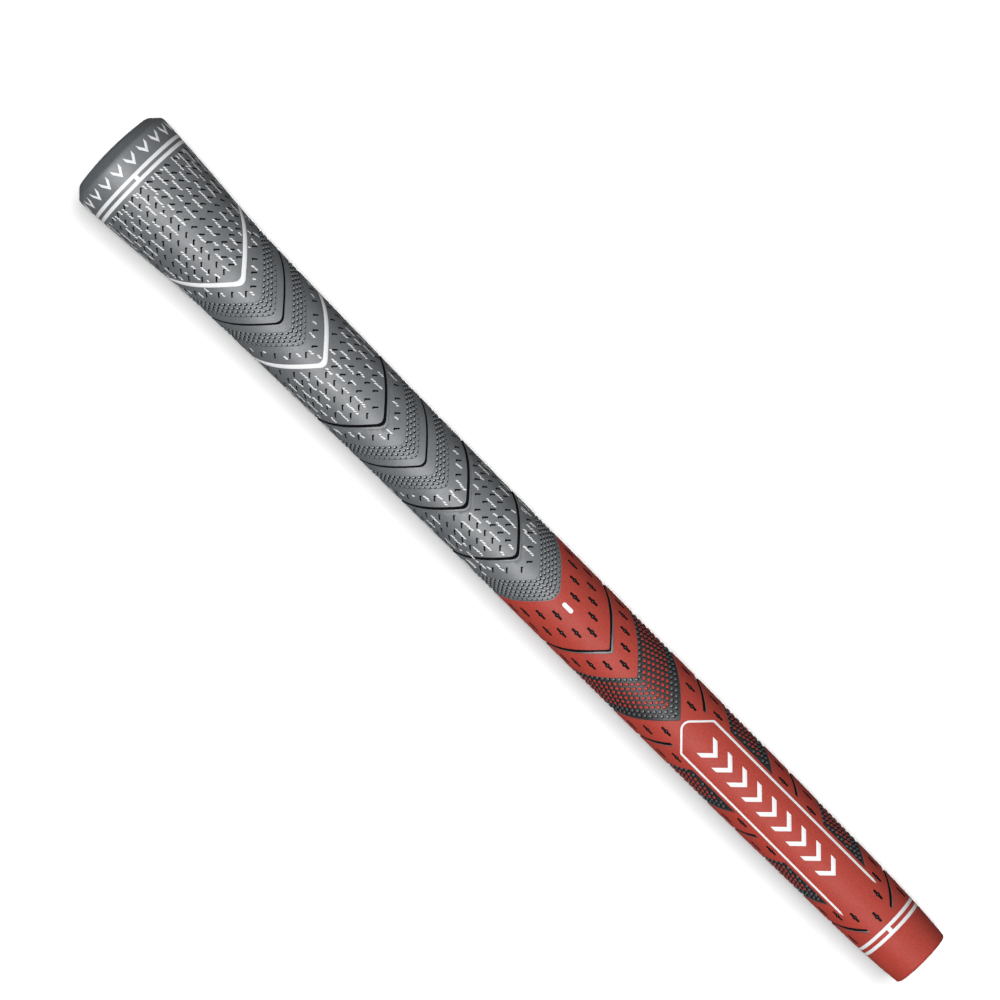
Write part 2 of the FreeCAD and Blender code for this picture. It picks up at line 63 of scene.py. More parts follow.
# Control points of the outer outline and points of the core: station, radius.
OUTLINE = [(3.3, 13.9), (16.0, 13.2), (30.0, 11.95), (38.0, 11.3), (70.0, 10.55),
           (120.0, 9.8), (190.0, 9.75), (240.0, 9.1), (262.0, 8.6), (269.4, 7.75)]
CORE = [(4.5, 11.9), (40.0, 9.75), (160.0, 8.45), (262.0, 7.2), (270.0, 6.9)]
MOUTH_CORNER = OUTLINE[-1][0]

# The flat sheet that each skin is laid out on.
SEAM = -172.0
SEAM_END = SEAM + 360.0
STEP = 3.0        # degrees between the columns of plain points
SPACING = 1.1     # mm between their rows
FLAT = 0.18       # mm on the sheet to one degree

# V shapes: slope, half angle of the rounded point, angle where the valley starts.
UPPER_FALL = (0.87, 7.0, 72.0)
SPLIT_FALL = (0.83, 14.0, 75.0)
LOWER_FALL = (0.92, 1.5, 68.0)

# The pattern. V lines are given by the station of their point on the top line.
CAP_END = 11.5
SPLIT = 148.2
WHITE_CHEVRONS = [43.35, 70.35]
WHITE_WIDTH = 1.4
# Grooves: start, width, width of the raised lip.
GROOVES = [(56.8, 0.65, 0.0), (90.3, 0.9, 0.75), (104.0, 0.65, 0.0), (117.6, 0.9, 0.7),
           (134.3, 0.9, 0.6)]
# Bump bands: start, width, bumps round the grip. The last one ends at the split line.
BUMP_BANDS = [(50.0, 4.7, 66), (59.8, 4.7, 66), (97.4, 4.5, 62), (107.3, 4.4, 62)]
BAND_ROWS = 4
EDGE_BAND = 141.8
EDGE_ROWS = 6
EDGE_COLUMNS = 62
DARK_CHEVRON = 165.6
DARK_WIDTH = 1.3
DARK_GAPS = {1: 5.4, 2: 6.7}    # half gap that dark chevrons 2 and 3 leave for the badge
DARK_LIMIT = 256.3              # where the mouth rings cut the last dark chevron
MESH = 174.85
MESH_WIDTH = 14.3
MESH_STEP = 1.53
MESH_GAP = 6.3                  # half gap that mesh inlays 2 and 3 leave for the badge
PITCH = 30.95                   # from one mesh inlay or dark chevron to the next
BADGE_SHOULDER = 195.0
BADGE_END = 248.9
BADGE_HALF = 5.45
BADGE_TIP_RADIUS = 2.05
BADGE_LINE = 0.5
MARK = 150.3
MARK_LENGTH = 3.2
MARK_WIDTH = 1.1
MESH_BANDS = 3
DARK_CHEVRONS = 4


# ---------------------------------------------------------------- outline and pattern

OUTLINE_SAMPLES = 1600


def spline_points(poles):
    """Points of the clamped uniform cubic spline with these control points."""
    poles = np.array(poles)
    knots = np.concatenate([np.zeros(3), np.linspace(0, 1, len(poles) - 2), np.ones(3)])
    at = np.linspace(0, 1 - 1e-9, OUTLINE_SAMPLES)
    weights = [((knots[i] <= at) & (at < knots[i + 1])).astype(float)
               for i in range(len(knots) - 1)]
    for degree in (1, 2, 3):
        spans = [knots[i + degree] - knots[i] or math.inf for i in range(len(weights))]
        weights = [(at - knots[i]) / spans[i] * weights[i]
                   + (knots[i + degree + 1] - at) / spans[i + 1] * weights[i + 1]
                   for i in range(len(weights) - 1)]
    return np.array(weights).T @ poles


OUTLINE_CURVE = spline_points(OUTLINE)


def radius_at(station):
    """Outer radius of the smooth grip."""
    return np.interp(station, OUTLINE_CURVE[:, 0], OUTLINE_CURVE[:, 1])


def core_radius_at(station):
    """Radius of the core sleeve, under the skin."""
    stations, radii = zip(*CORE)
    return np.interp(station, stations, radii)


def fall(angle, slope, turn, valley):
    """Axial fall of a V behind its point, in radii, as the V repeats every half turn."""
    inside = np.radians(np.abs((np.asarray(angle, float) + 90.0) % 180.0 - 90.0))
    turn, valley = math.radians(turn), math.radians(valley)
    rest = np.maximum(inside - valley, 0.0)
    near = slope * inside ** 2 / (2 * turn)
    straight = slope * (np.minimum(inside, valley) - turn / 2)
    levelled = straight + slope * (rest - rest ** 2 / (2 * (math.pi / 2 - valley)))
    return np.where(inside < turn, near, levelled)


def upper_v(point, angle):
    """Station of an upper V, whose point is at a station, at an angle."""
    return point - radius_at(point) * fall(angle, *UPPER_FALL)


def split_line(angle):
    """Station of the blunter V where the two compounds meet."""
    return SPLIT - radius_at(SPLIT) * fall(angle, *SPLIT_FALL)


def lower_v(point, angle):
    """Station of a lower V, whose point is at a station, at an angle."""
    return point - radius_at(min(point, 262.0)) * fall(angle, *LOWER_FALL)


def place(station, angle, height):
    """Row-frame points, in metres, of points on the skin."""
    station = np.asarray(station, float)
    turn = np.radians(angle)
    radius = radius_at(station) + height
    return np.stack([station - LENGTH, radius * np.sin(turn), radius * np.cos(turn)], -1) * MM


def wrap(angle):
    """The same angle inside the flat sheet, which runs a full turn from the seam."""
    return (angle - SEAM) % 360.0 + SEAM


# ---------------------------------------------------------------- meshes

def add_object(name, data):
    """A new object in the scene."""
    obj = bpy.data.objects.new(name, data)
    bpy.context.scene.collection.objects.link(obj)
    return obj


def face_outwards(mesh):
    """Turn every face of a closed mesh outwards."""
    work = bmesh.new()
    work.from_mesh(mesh)
    bmesh.ops.recalc_face_normals(work, faces=work.faces)
    work.to_mesh(mesh)
    work.free()


def make_piece(name, points, faces, materials, nodes, tags=None, sharp=35.0):
    """A closed mesh, smooth up to an angle, that is fixed to the body.

    It hides the CAD nodes it stands for. Tags say the faces' materials."""
    mesh = bpy.data.meshes.new(name)
    mesh.from_pydata([tuple(p) for p in points], [], faces)
    for material in materials:
        mesh.materials.append(material)
    if tags is not None:
        mesh.polygons.foreach_set("material_index", np.array(tags, dtype=np.int32))
    mesh.polygons.foreach_set("use_smooth", [True] * len(mesh.polygons))
    mesh.validate()
    face_outwards(mesh)
    mesh.set_sharp_from_angle(angle=math.radians(sharp))
    obj = add_object(name, mesh)
    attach(obj, "root")
    if nodes:
        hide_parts(*nodes)


WELD_DISTANCE = 2e-4


def weld(points, faces, tags):
    """Join points that coincide, as along the seam, and drop faces that collapse."""
    cells = np.round(np.asarray(points) / MM / WELD_DISTANCE).astype(np.int64)
    _, first, inverse = np.unique(cells, axis=0, return_index=True, return_inverse=True)
    inverse = inverse.reshape(-1)
    kept_faces, kept_tags = [], []
    for face, tag in zip(faces, tags):
        merged = [int(inverse[i]) for i in face]
        loop = [v for i, v in enumerate(merged) if v != merged[i - 1]]
        if len(loop) > 2 and len(set(loop)) == len(loop):
            kept_faces.append(loop)
            kept_tags.append(tag)
    return np.asarray(points)[first], kept_faces, kept_tags


def grid_faces(rows, count, loop_rows, loop_columns=True):
    """Faces between neighbouring points of a grid that is stored row by row."""
    faces = []
    for i in range(rows if loop_rows else rows - 1):
        here, after = i * count, (i + 1) % rows * count
        for j in range(count if loop_columns else count - 1):
            k = (j + 1) % count
            faces.append((here + j, after + j, after + k, here + k))
    return faces


class Skin:
    """A moulded surface, laid out flat as station and angle, with a height at each point."""

    def __init__(self):
        self.flat = []
        self.height = []
        self.tag = []
        self.edges = []

    def add(self, station, angle, height, tag=0):
        """Add one point and return its number."""
        self.flat.append((float(station), float(angle) * FLAT))
        self.height.append(float(height))
        self.tag.append(tag)
        return len(self.flat) - 1

    def line(self, points, height, tag=0, closed=False):
        """Add a chain of points that stays an edge of the mesh."""
        numbers = [self.add(s, a, height, tag) for s, a in points]
        pairs = list(zip(numbers, numbers[1:]))
        if closed:
            pairs.append((numbers[-1], numbers[0]))
        self.edges += pairs
        return numbers

    def shape(self, station, angle, outline, height, tag=0, closed=True):
        """Add an outline given in mm about a centre on the skin."""
        per_mm = 1 / math.radians(radius_at(station))
        points = [(station + x, angle + y * per_mm) for x, y in outline]
        return self.line(points, height, tag, closed)

    def search_tree(self):
        """A tree that finds the point nearest to a place on the sheet."""
        tree = kdtree.KDTree(len(self.flat))
        for i, (x, y) in enumerate(self.flat):
            tree.insert((x, y, 0.0), i)
        tree.balance()
        return tree

    def fill(self, first, last, height_of, gap):
        """Add evenly spaced points away from everything that is there already."""
        tree = self.search_tree()
        grid = []
        for row, station in enumerate(np.arange(first, last + SPACING, SPACING)):
            angles = [SEAM, SEAM_END]
            angles += list(np.arange(SEAM + STEP * (0.5 + 0.5 * (row % 2)), SEAM + 359.0, STEP))
            grid += [(station, angle) for angle in angles]
        grid = np.array(grid)
        for (station, angle), height in zip(grid, height_of(grid[:, 0], grid[:, 1])):
            distance = tree.find((station, angle * FLAT, 0.0))[2]
            limit = gap / 2 if angle in (SEAM, SEAM_END) else gap
            if distance is None or distance > limit:
                self.add(station, angle, height)

    def triangles(self, inside):
        """Triangulate and keep the faces whose middle is inside."""
        points, _, faces, origins, _, _ = delaunay_2d_cdt(
            [Vector(p) for p in self.flat], self.edges, [], 0, 1e-6)
        flat = np.array([(p.x, p.y) for p in points])
        tree = self.search_tree()
        known = [origin[0] if origin else tree.find((*flat[i], 0.0))[1]
                 for i, origin in enumerate(origins)]
        height = np.array(self.height)[known]
        tag = np.array(self.tag)[known]
        faces = np.array(faces)
        middle = flat[faces].mean(axis=1)
        keep = inside(middle[:, 0], middle[:, 1] / FLAT)
        return flat[:, 0], flat[:, 1] / FLAT, height, tag, faces[keep]


def tube_faces(rows, count, closed):
    """Faces of a tube that is a closed ring or has two end faces."""
    faces = grid_faces(rows, count, closed)
    if not closed:
        faces.append(tuple(range(count)))
        faces.append(tuple(reversed(range((rows - 1) * count, rows * count))))
    return faces


def sweep(angles, start, width, profile, closed):
    """A closed band round the grip: its cross-section is (share of the width, height).

    start and width are one value each, or one for every angle."""
    rows, count = len(angles), len(profile)
    share, height = np.array(profile).T
    start, width = (np.broadcast_to(value, rows)[:, None] for value in (start, width))
    points = place(start + width * share, np.asarray(angles)[:, None] * np.ones(count), height)
    return points.reshape(-1, 3), tube_faces(rows, count, closed)


def join(parts):
    """Several point and face lists as one."""
    points, faces, offset = [], [], 0
    for part_points, part_faces in parts:
        points.append(np.asarray(part_points))
        faces += [tuple(i + offset for i in face) for face in part_faces]
        offset += len(part_points)
    return np.concatenate(points), faces


# ---------------------------------------------------------------- materials

def new_material(name, roughness, specular):
    """A material with a lone Principled shader."""
    material = bpy.data.materials.new(name)
    material.use_nodes = True
    shader = material.node_tree.nodes["Principled BSDF"]
    shader.inputs["Roughness"].default_value = roughness
    shader.inputs["Specular IOR Level"].default_value = specular
    return material, material.node_tree, shader


def noise(tree, scale, detail=3.0, rough=0.55):
    """A noise texture in object space; scale is in features per metre."""
    coords = tree.nodes.new("ShaderNodeTexCoord")
    texture = tree.nodes.new("ShaderNodeTexNoise")
    texture.inputs["Scale"].default_value = scale
    texture.inputs["Detail"].default_value = detail
    texture.inputs["Roughness"].default_value = rough
    tree.links.new(coords.outputs["Object"], texture.inputs["Vector"])
    return texture.outputs["Fac"]


def tones(tree, value, colour, low, high):
    """A value as shades of a colour; low and high are each a value and a brightness."""
    node = tree.nodes.new("ShaderNodeValToRGB")
    for element, (position, factor) in zip(node.color_ramp.elements, (low, high)):
        element.position = position
        element.color = (*(min(1.0, channel * factor) for channel in colour), 1.0)
    tree.links.new(value, node.inputs["Fac"])
    return node.outputs["Color"]


def mix(tree, factor, first, second):
    """Mix two colours; sockets 6 and 7 and output 2 are the colour ones."""
    node = tree.nodes.new("ShaderNodeMix")
    node.data_type = "RGBA"
    node.inputs["Factor"].default_value = factor
    tree.links.new(first, node.inputs[6])
    tree.links.new(second, node.inputs[7])
    return node.outputs[2]


def bump(tree, shader, height, distance):
    """Bump the surface by a height of at most a distance in mm."""
    node = tree.nodes.new("ShaderNodeBump")
    node.inputs["Distance"].default_value = distance * MM
    node.inputs["Strength"].default_value = 1.0
    tree.links.new(height, node.inputs["Height"])
    tree.links.new(node.outputs["Normal"], shader.inputs["Normal"])


def rough_range(tree, shader, value, low, high):
    """Let roughness follow a value between two limits."""
    node = tree.nodes.new("ShaderNodeMapRange")
    node.inputs["To Min"].default_value = low
    node.inputs["To Max"].default_value = high
    tree.links.new(value, node.inputs["Value"])
    tree.links.new(node.outputs["Result"], shader.inputs["Roughness"])


def rubber(name, colour, roughness, gloss=0.5, mottle=0.10, ior=1.5):
    """Moulded rubber: faint mottling, fine speckle and a fine moulded grain."""
    material, tree, shader = new_material(name, roughness, gloss)
    shader.inputs["IOR"].default_value = ior
    soft = tones(tree, noise(tree, 260.0, 4.0), colour, (0.3, 1 - mottle), (0.7, 1 + mottle))
    speck = tones(tree, noise(tree, 2800.0, 2.0, 0.7), colour, (0.35, 0.72), (0.65, 1.28))
    tree.links.new(mix(tree, 0.45, soft, speck), shader.inputs["Base Color"])
    bump(tree, shader, noise(tree, 4200.0, 3.0, 0.6), 0.022)
    rough_range(tree, shader, noise(tree, 900.0), roughness - 0.06, roughness + 0.08)
    return material


def paint(name, colour):
    """Flexible paint fill: nearly even colour with faint wear and a soft ripple."""
    material, tree, shader = new_material(name, 0.42, 0.45)
    tone = tones(tree, noise(tree, 700.0, 4.0), colour, (0.3, 0.95), (0.6, 1.0))
    tree.links.new(tone, shader.inputs["Base Color"])
    bump(tree, shader, noise(tree, 2600.0), 0.01)
    rough_range(tree, shader, noise(tree, 1500.0), 0.36, 0.5)
    return material


def cotton(name, colour):
    """Cotton yarn: fibres that vary in tone, fuzzy and fully matte."""
    material, tree, shader = new_material(name, 0.9, 0.2)
    shader.inputs["Sheen Weight"].default_value = 0.3
    tone = tones(tree, noise(tree, 6000.0, 4.0, 0.7), colour, (0.3, 0.84), (0.62, 1.0))
    tree.links.new(tone, shader.inputs["Base Color"])
    bump(tree, shader, noise(tree, 9000.0, 2.0), 0.03)
    return material


GREY = rubber("grey_rubber", (0.134, 0.146, 0.157), 0.50, 1.0, ior=1.6)
CAP_GREY = rubber("cap_rubber", (0.140, 0.153, 0.165), 0.47, 1.0, ior=1.6)
# Painted highlight: the crowns of the grey bumps, more than twice as light as the grey rubber
# they are moulded in.
BUMP_HIGHLIGHT = rubber("bump_highlight_rubber", (0.300, 0.322, 0.340), 0.23, 1.0, ior=1.6)
# Painted shadow, near-black: floors of slits and grooves, crescents under the bumps, the gutters
# of the dark chevrons and the floors of the lower inlay beds.
SLIT = rubber("slit_shadow", (0.006, 0.006, 0.007), 0.85, 0.1)
# Painted shade: floors lower than LOW_FLOOR between bumps, which are those of the mesh inlays.
VALLEY_SHADE = rubber("valley_shade_rubber", (0.016, 0.018, 0.020), 0.48, 0.56, ior=1.6)
RED = rubber("red_rubber", (0.455, 0.055, 0.038), 0.50, 0.30, mottle=0.05)
RED_TOP = rubber("red_bump_rubber", (0.53, 0.052, 0.038), 0.45, 0.28, mottle=0.12)
DARK = rubber("dark_rubber", (0.085, 0.092, 0.100), 0.39, 1.0, ior=1.6)
# Painted shade: near-black floors and walls of the pips' recesses, darker than the dark rubber
# of their domes.
PIP = rubber("pip_recess_shade", (0.007, 0.007, 0.008), 0.7, 0.15)
BLACK = rubber("core_rubber", (0.022, 0.022, 0.024), 0.6)
WHITE = paint("white_paint", (0.93, 0.94, 0.95))
COTTON = cotton("cord_cotton", (0.94, 0.95, 0.95))


# ---------------------------------------------------------------- skin features

def turned(points, turn):
    """Points turned about the origin."""
    c, s = math.cos(turn), math.sin(turn)
    return [(c * x - s * y, s * x + c * y) for x, y in points]


def ellipse(half_x, half_y, turn=0.0):
    """Eight points of a turned ellipse."""
    around = [math.pi * (i + 0.5) / 4 for i in range(8)]
    return turned([(half_x * math.cos(a), half_y * math.sin(a)) for a in around], turn)


# A slit: a straight leg towards the mouth with a short hook at its butt end.
SLIT_RIM = [(-0.75, -0.08), (-0.64, -0.22), (0.6, -0.2), (0.75, -0.06), (0.74, 0.1),
            (0.58, 0.2), (-0.42, 0.2), (-0.48, 0.36), (-0.62, 0.42), (-0.75, 0.3)]
SLIT_FLOOR = [(-0.58, 0.22), (-0.53, 0.02), (0.0, 0.0), (0.52, 0.0)]
SLIT_DEPTH = 0.34
SLIT_REACH = 1.02    # distance that its middle keeps from every V band
SLIT_SEAM_CLEAR = 4.0


def dagger(inset):
    """Outline of a pip: a narrow bar along the grip with a lozenge at its middle."""
    half_bar, half_length = 0.31 - inset, 1.52 - inset
    half_wide, half_core = 0.54 - inset, 0.46 - inset * 0.6
    quarter = [(half_length, half_bar * 0.5), (half_length - 0.14, half_bar),
               (half_core, half_bar), (half_core * 0.45, half_wide)]
    points = quarter + [(-x, y) for x, y in reversed(quarter)]
    return points + [(-x, -y) for x, y in reversed(points)]


BUMP_LEAN = math.radians(47.0)
# A bump's crescent: flank points sunk a little and tagged for near-black painted shadow.
CRESCENT_DEPTH = 0.06
CRESCENT_FROM = -0.08    # it takes the flank points beyond this, along the grip
FLANK = 0.88    # size of the ring at a bump's flank, as a share of its foot


def side_of(angle):
    """1 on the arms of a V that run towards a greater angle, -1 on the others."""
    return 1 if (angle + 90.0) % 180.0 > 90.0 else -1


def add_slit(skin, station, angle):
    """One short slit across the V's direction, a groove of V section whose floor is tagged for
    painted shadow.
    """
    side, c = side_of(angle), math.sqrt(0.5)
    rim, floor = ([(c * (u + v), side * c * (u - v)) for u, v in points]
                  for points in (SLIT_RIM, SLIT_FLOOR))
    skin.shape(station, angle, rim, 0.0)
    skin.shape(station, angle, floor, -SLIT_DEPTH, tag=1, closed=False)


def add_bump(skin, station, angle, floor, rise, half_long, half_wide, crown, tag=2):
    """One oval bump along the V's arm, with a shallow undercut on its mouth side that is tagged
    as a dark crescent of painted shadow.
    """
    turn = -BUMP_LEAN * side_of(angle)
    skin.shape(station, angle, ellipse(half_long, half_wide, turn), floor)
    flank = ellipse(half_long * FLANK, half_wide * FLANK, turn)
    for number, (x, _) in zip(skin.shape(station, angle, flank, floor + rise * 0.7, tag), flank):
        if x > CRESCENT_FROM:
            skin.height[number] = floor - CRESCENT_DEPTH
            skin.tag[number] = 1
    middle = station - 0.6 * (FLANK - crown) * half_wide
    # The crown takes the given tag; in the grey bands that is a painted highlight.
    skin.shape(middle, angle, ellipse(half_long * crown, half_wide * crown, turn),
               floor + rise * 0.95, tag)
    skin.add(middle, angle, floor + rise, tag)


def angles_between(low, high):
    """Both angles and the regular ones between them."""
    inner = np.arange(math.ceil(low / STEP) * STEP, high, STEP)
    inner = inner[(inner > low + 0.4) & (inner < high - 0.4)]
    return np.concatenate([[low], inner, [high]])


def full_turn():
    """Angles of a whole turn from the seam."""
    return angles_between(SEAM, SEAM_END)


def level(station):
    """A plain ring at a station, as a V line without a V."""
    return lambda angles: station + 0.0 * np.asarray(angles)


def v_line(skin, edge, height, tag=0):
    """A whole V line round the skin, given as a function of the angle."""
    angles = full_turn()
    skin.line(list(zip(edge(angles), angles)), height, tag)


def shifted(edge, offset):
    """A V line moved along the grip."""
    return lambda angles: edge(angles) + offset


def add_trough(skin, near, far, depth, wall):
    """A V groove with sloping walls and a flat floor between two V lines."""
    v_line(skin, near, 0.0)
    v_line(skin, shifted(near, wall), -depth)
    v_line(skin, shifted(far, -wall), -depth)
    v_line(skin, far, 0.0)


def seam_distance(angle):
    """Angle to the nearest side of the flat sheet."""
    return min(abs(angle - SEAM), abs(angle - SEAM_END))


# ---------------------------------------------------------------- upper sleeve

BUMP_FLOOR = -0.2
BUMP_RISE = 0.22
BUMP_HALF_LONG = 0.57
BUMP_HALF_WIDE = 0.385
FIRST_ROW = 0.62         # distance of the first row of bumps from the band's near line
LAST_ROW = 0.42          # distance of the last row from the far line
LAST_ROW_SIZE = 0.66
BUMP_SEAM_CLEAR = 2.8
GROOVE_DEPTH = 0.45
LIP_RISE = 0.05


def upper_line(point):
    """An upper V line as a function of the angle."""
    return lambda angles: upper_v(point, angles)


def v_band(start, width):
    """Near and far V line of a band of the upper sleeve."""
    return upper_line(start), shifted(upper_line(start), width)


def bump_bands():
    """Bump bands of the upper sleeve: near and far V line, rows, bumps round the grip."""
    bands = [(*v_band(start, width), BAND_ROWS, columns) for start, width, columns in BUMP_BANDS]
    return bands + [(upper_line(EDGE_BAND), shifted(split_line, -0.15), EDGE_ROWS, EDGE_COLUMNS)]


def taken_bands():
    """Near and far V line of everything that slits and yarns keep clear of."""
    taken = [(near, far) for near, far, _, _ in bump_bands()]
    taken += [v_band(start, WHITE_WIDTH) for start in WHITE_CHEVRONS]
    return taken + [v_band(start, width + lip) for start, width, lip in GROOVES]


TAKEN = taken_bands()


def is_clear(station, angle, reach):
    """True if a point of the upper skin keeps its distance from every V band."""
    if not CAP_END + reach < station < split_line(angle) - reach:
        return False
    return not any(near(angle) - reach < station < far(angle) + reach for near, far in TAKEN)


def upper_floor(station, angle):
    """Height of the plain skin, which is low inside the bump bands."""
    height = np.zeros(len(station))
    for near, far, _, _ in bump_bands():
        inside = (station > near(angle) + 0.1) & (station < far(angle) - 0.1)
        height[inside] = BUMP_FLOOR
    return height


# Rows of slits round the grip, up to the first white chevron and after it.
ROWS_BUTT = 28
ROWS_WAIST = 23
# Slit columns: V points of the zone's two ends, first station, step, rows.
SLIT_COLUMNS = [(CAP_END, WHITE_CHEVRONS[0], 12.6, 2.455, ROWS_BUTT),
                (71.75, GROOVES[1][0], 73.4, 2.7, ROWS_WAIST),
                (119.1, GROOVES[4][0], 120.7, 2.53, ROWS_WAIST)]
# Slits in a V: V point, rows.
SLIT_ROWS = [(47.3, ROWS_BUTT), (67.5, ROWS_WAIST), (94.6, ROWS_WAIST), (114.8, ROWS_WAIST),
             (138.6, ROWS_WAIST)]


def row_angles(rows):
    """Angles of evenly spaced rows, with the top line halfway between two of them."""
    return [wrap((row + 0.5) * 360.0 / rows) for row in range(rows)]


def slit_places():
    """Middles of all slits: straight columns in the wide zones, V rows in the narrow ones."""
    places = []
    for first, last, column, step, rows in SLIT_COLUMNS:
        for angle in row_angles(rows):
            low = first if first == CAP_END else float(upper_v(first, angle))
            high = float(upper_v(last, angle))
            skip = math.ceil((low - column) / step)
            places += [(s, angle) for s in np.arange(column + skip * step, high, step)]
    for point, rows in SLIT_ROWS:
        places += [(float(upper_v(point, angle)), angle) for angle in row_angles(rows)]
    return [(s, a) for s, a in places
            if is_clear(s, a, SLIT_REACH) and seam_distance(a) > SLIT_SEAM_CLEAR]


def add_bump_band(skin, near, far, rows, columns):
    """A sunken V band filled with rows of oval bumps, in brick order along its arms."""
    add_trough(skin, near, far, -BUMP_FLOOR, 0.1)
    for row in range(rows):
        size = 1.0 if row < rows - 1 else LAST_ROW_SIZE
        for column in range(columns):
            angle = wrap(column * 360.0 / columns)
            if seam_distance(angle) < BUMP_SEAM_CLEAR:
                continue
            low, high = float(near(angle)), float(far(angle))
            station = low + FIRST_ROW + (high - low - FIRST_ROW - LAST_ROW) * row / (rows - 1)
            # Crowns take tag 2, a painted highlight, and crescents tag 1, painted shadow.
            add_bump(skin, station, angle, BUMP_FLOOR, BUMP_RISE * size, BUMP_HALF_LONG * size,
                     BUMP_HALF_WIDE * size, 0.5)


def add_groove(skin, start, width, lip):
    """A moulded groove with a steep near wall, a floor tagged for painted shadow and, at some, a
    raised lip behind it.
    """
    line = upper_line(start)
    v_line(skin, line, 0.0)
    v_line(skin, shifted(line, 0.1), -GROOVE_DEPTH, tag=1)
    v_line(skin, shifted(line, width * 0.6), -GROOVE_DEPTH + 0.03, tag=1)
    v_line(skin, shifted(line, width), LIP_RISE if lip else 0.0)
    if lip:
        for offset, height in ((-0.08, LIP_RISE), (0.0, -0.07), (0.08, 0.0)):
            v_line(skin, shifted(line, width + lip + offset), height)


def make_upper_skin():
    """Flat layout of the upper sleeve's outer surface."""
    skin = Skin()
    v_line(skin, level(CAP_END), 0.0)
    v_line(skin, split_line, 0.0)
    for start, width, lip in GROOVES:
        add_groove(skin, start, width, lip)
    for start in WHITE_CHEVRONS:
        v_line(skin, upper_line(start), 0.0)
    for near, far, rows, columns in bump_bands():
        add_bump_band(skin, near, far, rows, columns)
    for station, angle in slit_places():
        add_slit(skin, station, angle)
    skin.fill(CAP_END, SPLIT, upper_floor, 0.4)
    return skin


def add_inner_wall(points, faces, start_of, end_of):
    """Close a sleeve with an inner wall and two end faces."""
    angles = full_turn()
    rows = 12
    first = np.array([float(start_of(a)) for a in angles])
    last = np.array([float(end_of(a)) for a in angles])
    rings = [place(first, angles, 0.0)]
    for i in range(rows + 1):
        station = first + (last - first) * i / rows
        rings.append(place(station, angles, core_radius_at(station) - radius_at(station)))
    rings.append(place(last, angles, 0.0))
    wall = [tuple(len(points) + i for i in face)
            for face in grid_faces(len(rings), len(angles), False, False)]
    return np.concatenate([points] + rings), [tuple(f) for f in faces] + wall


# Faces with every corner below this take the low-floor material: painted shade between the mesh
# bumps and painted shadow in the lower sleeve's inlay beds.
LOW_FLOOR = -0.2


def face_tags_of(tags, faces, heights):
    """Material of each face: 0 plain, 1 slit, groove floor, pip or crescent, 2 crown or pip
    dome, 3 low floor. Tag 1 takes painted shadow, tag 3 painted shade, and tag 2 a painted
    highlight in the grey bands.
    """
    corner = tags[faces]
    kinds = np.zeros(len(faces), int)
    kinds[(corner == 1).any(axis=1)] = 1
    kinds[(corner == 2).all(axis=1)] = 2
    low = (heights[faces] < LOW_FLOOR).all(axis=1) & (kinds == 0)
    kinds[low] = 3
    return kinds


def finish_skin(name, skin, inside, close, materials, sharp, node):
    """Turn a flat layout into the closed, coloured piece that replaces its CAD node."""
    stations, angles, heights, tags, faces = skin.triangles(inside)
    face_tags = list(face_tags_of(tags, faces, heights))
    points, faces = close(place(stations, angles, heights), stations, angles, faces)
    face_tags += [0] * (len(faces) - len(face_tags))
    points, faces, face_tags = weld(points, faces, face_tags)
    make_piece(name, points, faces, materials, [node], face_tags, sharp)


def finish_sleeve(node, skin, start_of, end_of, materials):
    """Finish the layout of a sleeve that runs from one line round the grip to another."""
    finish_skin(node + "_skin", skin, lambda s, a: (s > start_of(a)) & (s < end_of(a)),
                lambda points, s, a, faces: add_inner_wall(points, faces, start_of, end_of),
                materials, 50.0, node)


def make_upper_sleeve():
    """Grey corded sleeve with slits, V grooves and bump bands."""
    finish_sleeve("upper_sleeve", make_upper_skin(), level(CAP_END), split_line,
                  # By tag: grey rubber, painted shadow, painted highlight on the bump crowns,
                  # painted shade on low floors.
                  [GREY, SLIT, BUMP_HIGHLIGHT, VALLEY_SHADE])


# ---------------------------------------------------------------- cord yarns

# Where the yarns come to the surface: first and last station, and angle from the row.
FLOATS = [(11.9, 13.3, -2.0), (12.0, 16.4, 3.0), (15.7, 19.6, -1.5), (19.4, 21.5, 4.3),
          (22.1, 25.9, 0.3), (29.0, 32.1, 2.6), (32.8, 34.1, -2.6), (35.0, 37.6, 3.2),
          (38.2, 40.2, -1.5), (68.5, 71.4, -13.0), (71.6, 74.7, -2.4), (74.7, 77.9, 2.8),
          (78.2, 80.2, -4.6), (81.2, 85.0, 0.2), (113.7, 117.3, -1.0), (120.0, 123.7, -2.2),
          (124.0, 124.9, 5.0), (126.0, 130.0, -2.2), (131.4, 133.1, 5.0)]
# Yarns that follow a V: its point, their length, rows.
V_FLOATS = [(47.4, 1.5, ROWS_BUTT), (67.4, 1.7, ROWS_WAIST), (93.9, 2.2, ROWS_WAIST),
            (114.2, 2.0, ROWS_WAIST), (138.2, 3.2, ROWS_WAIST)]


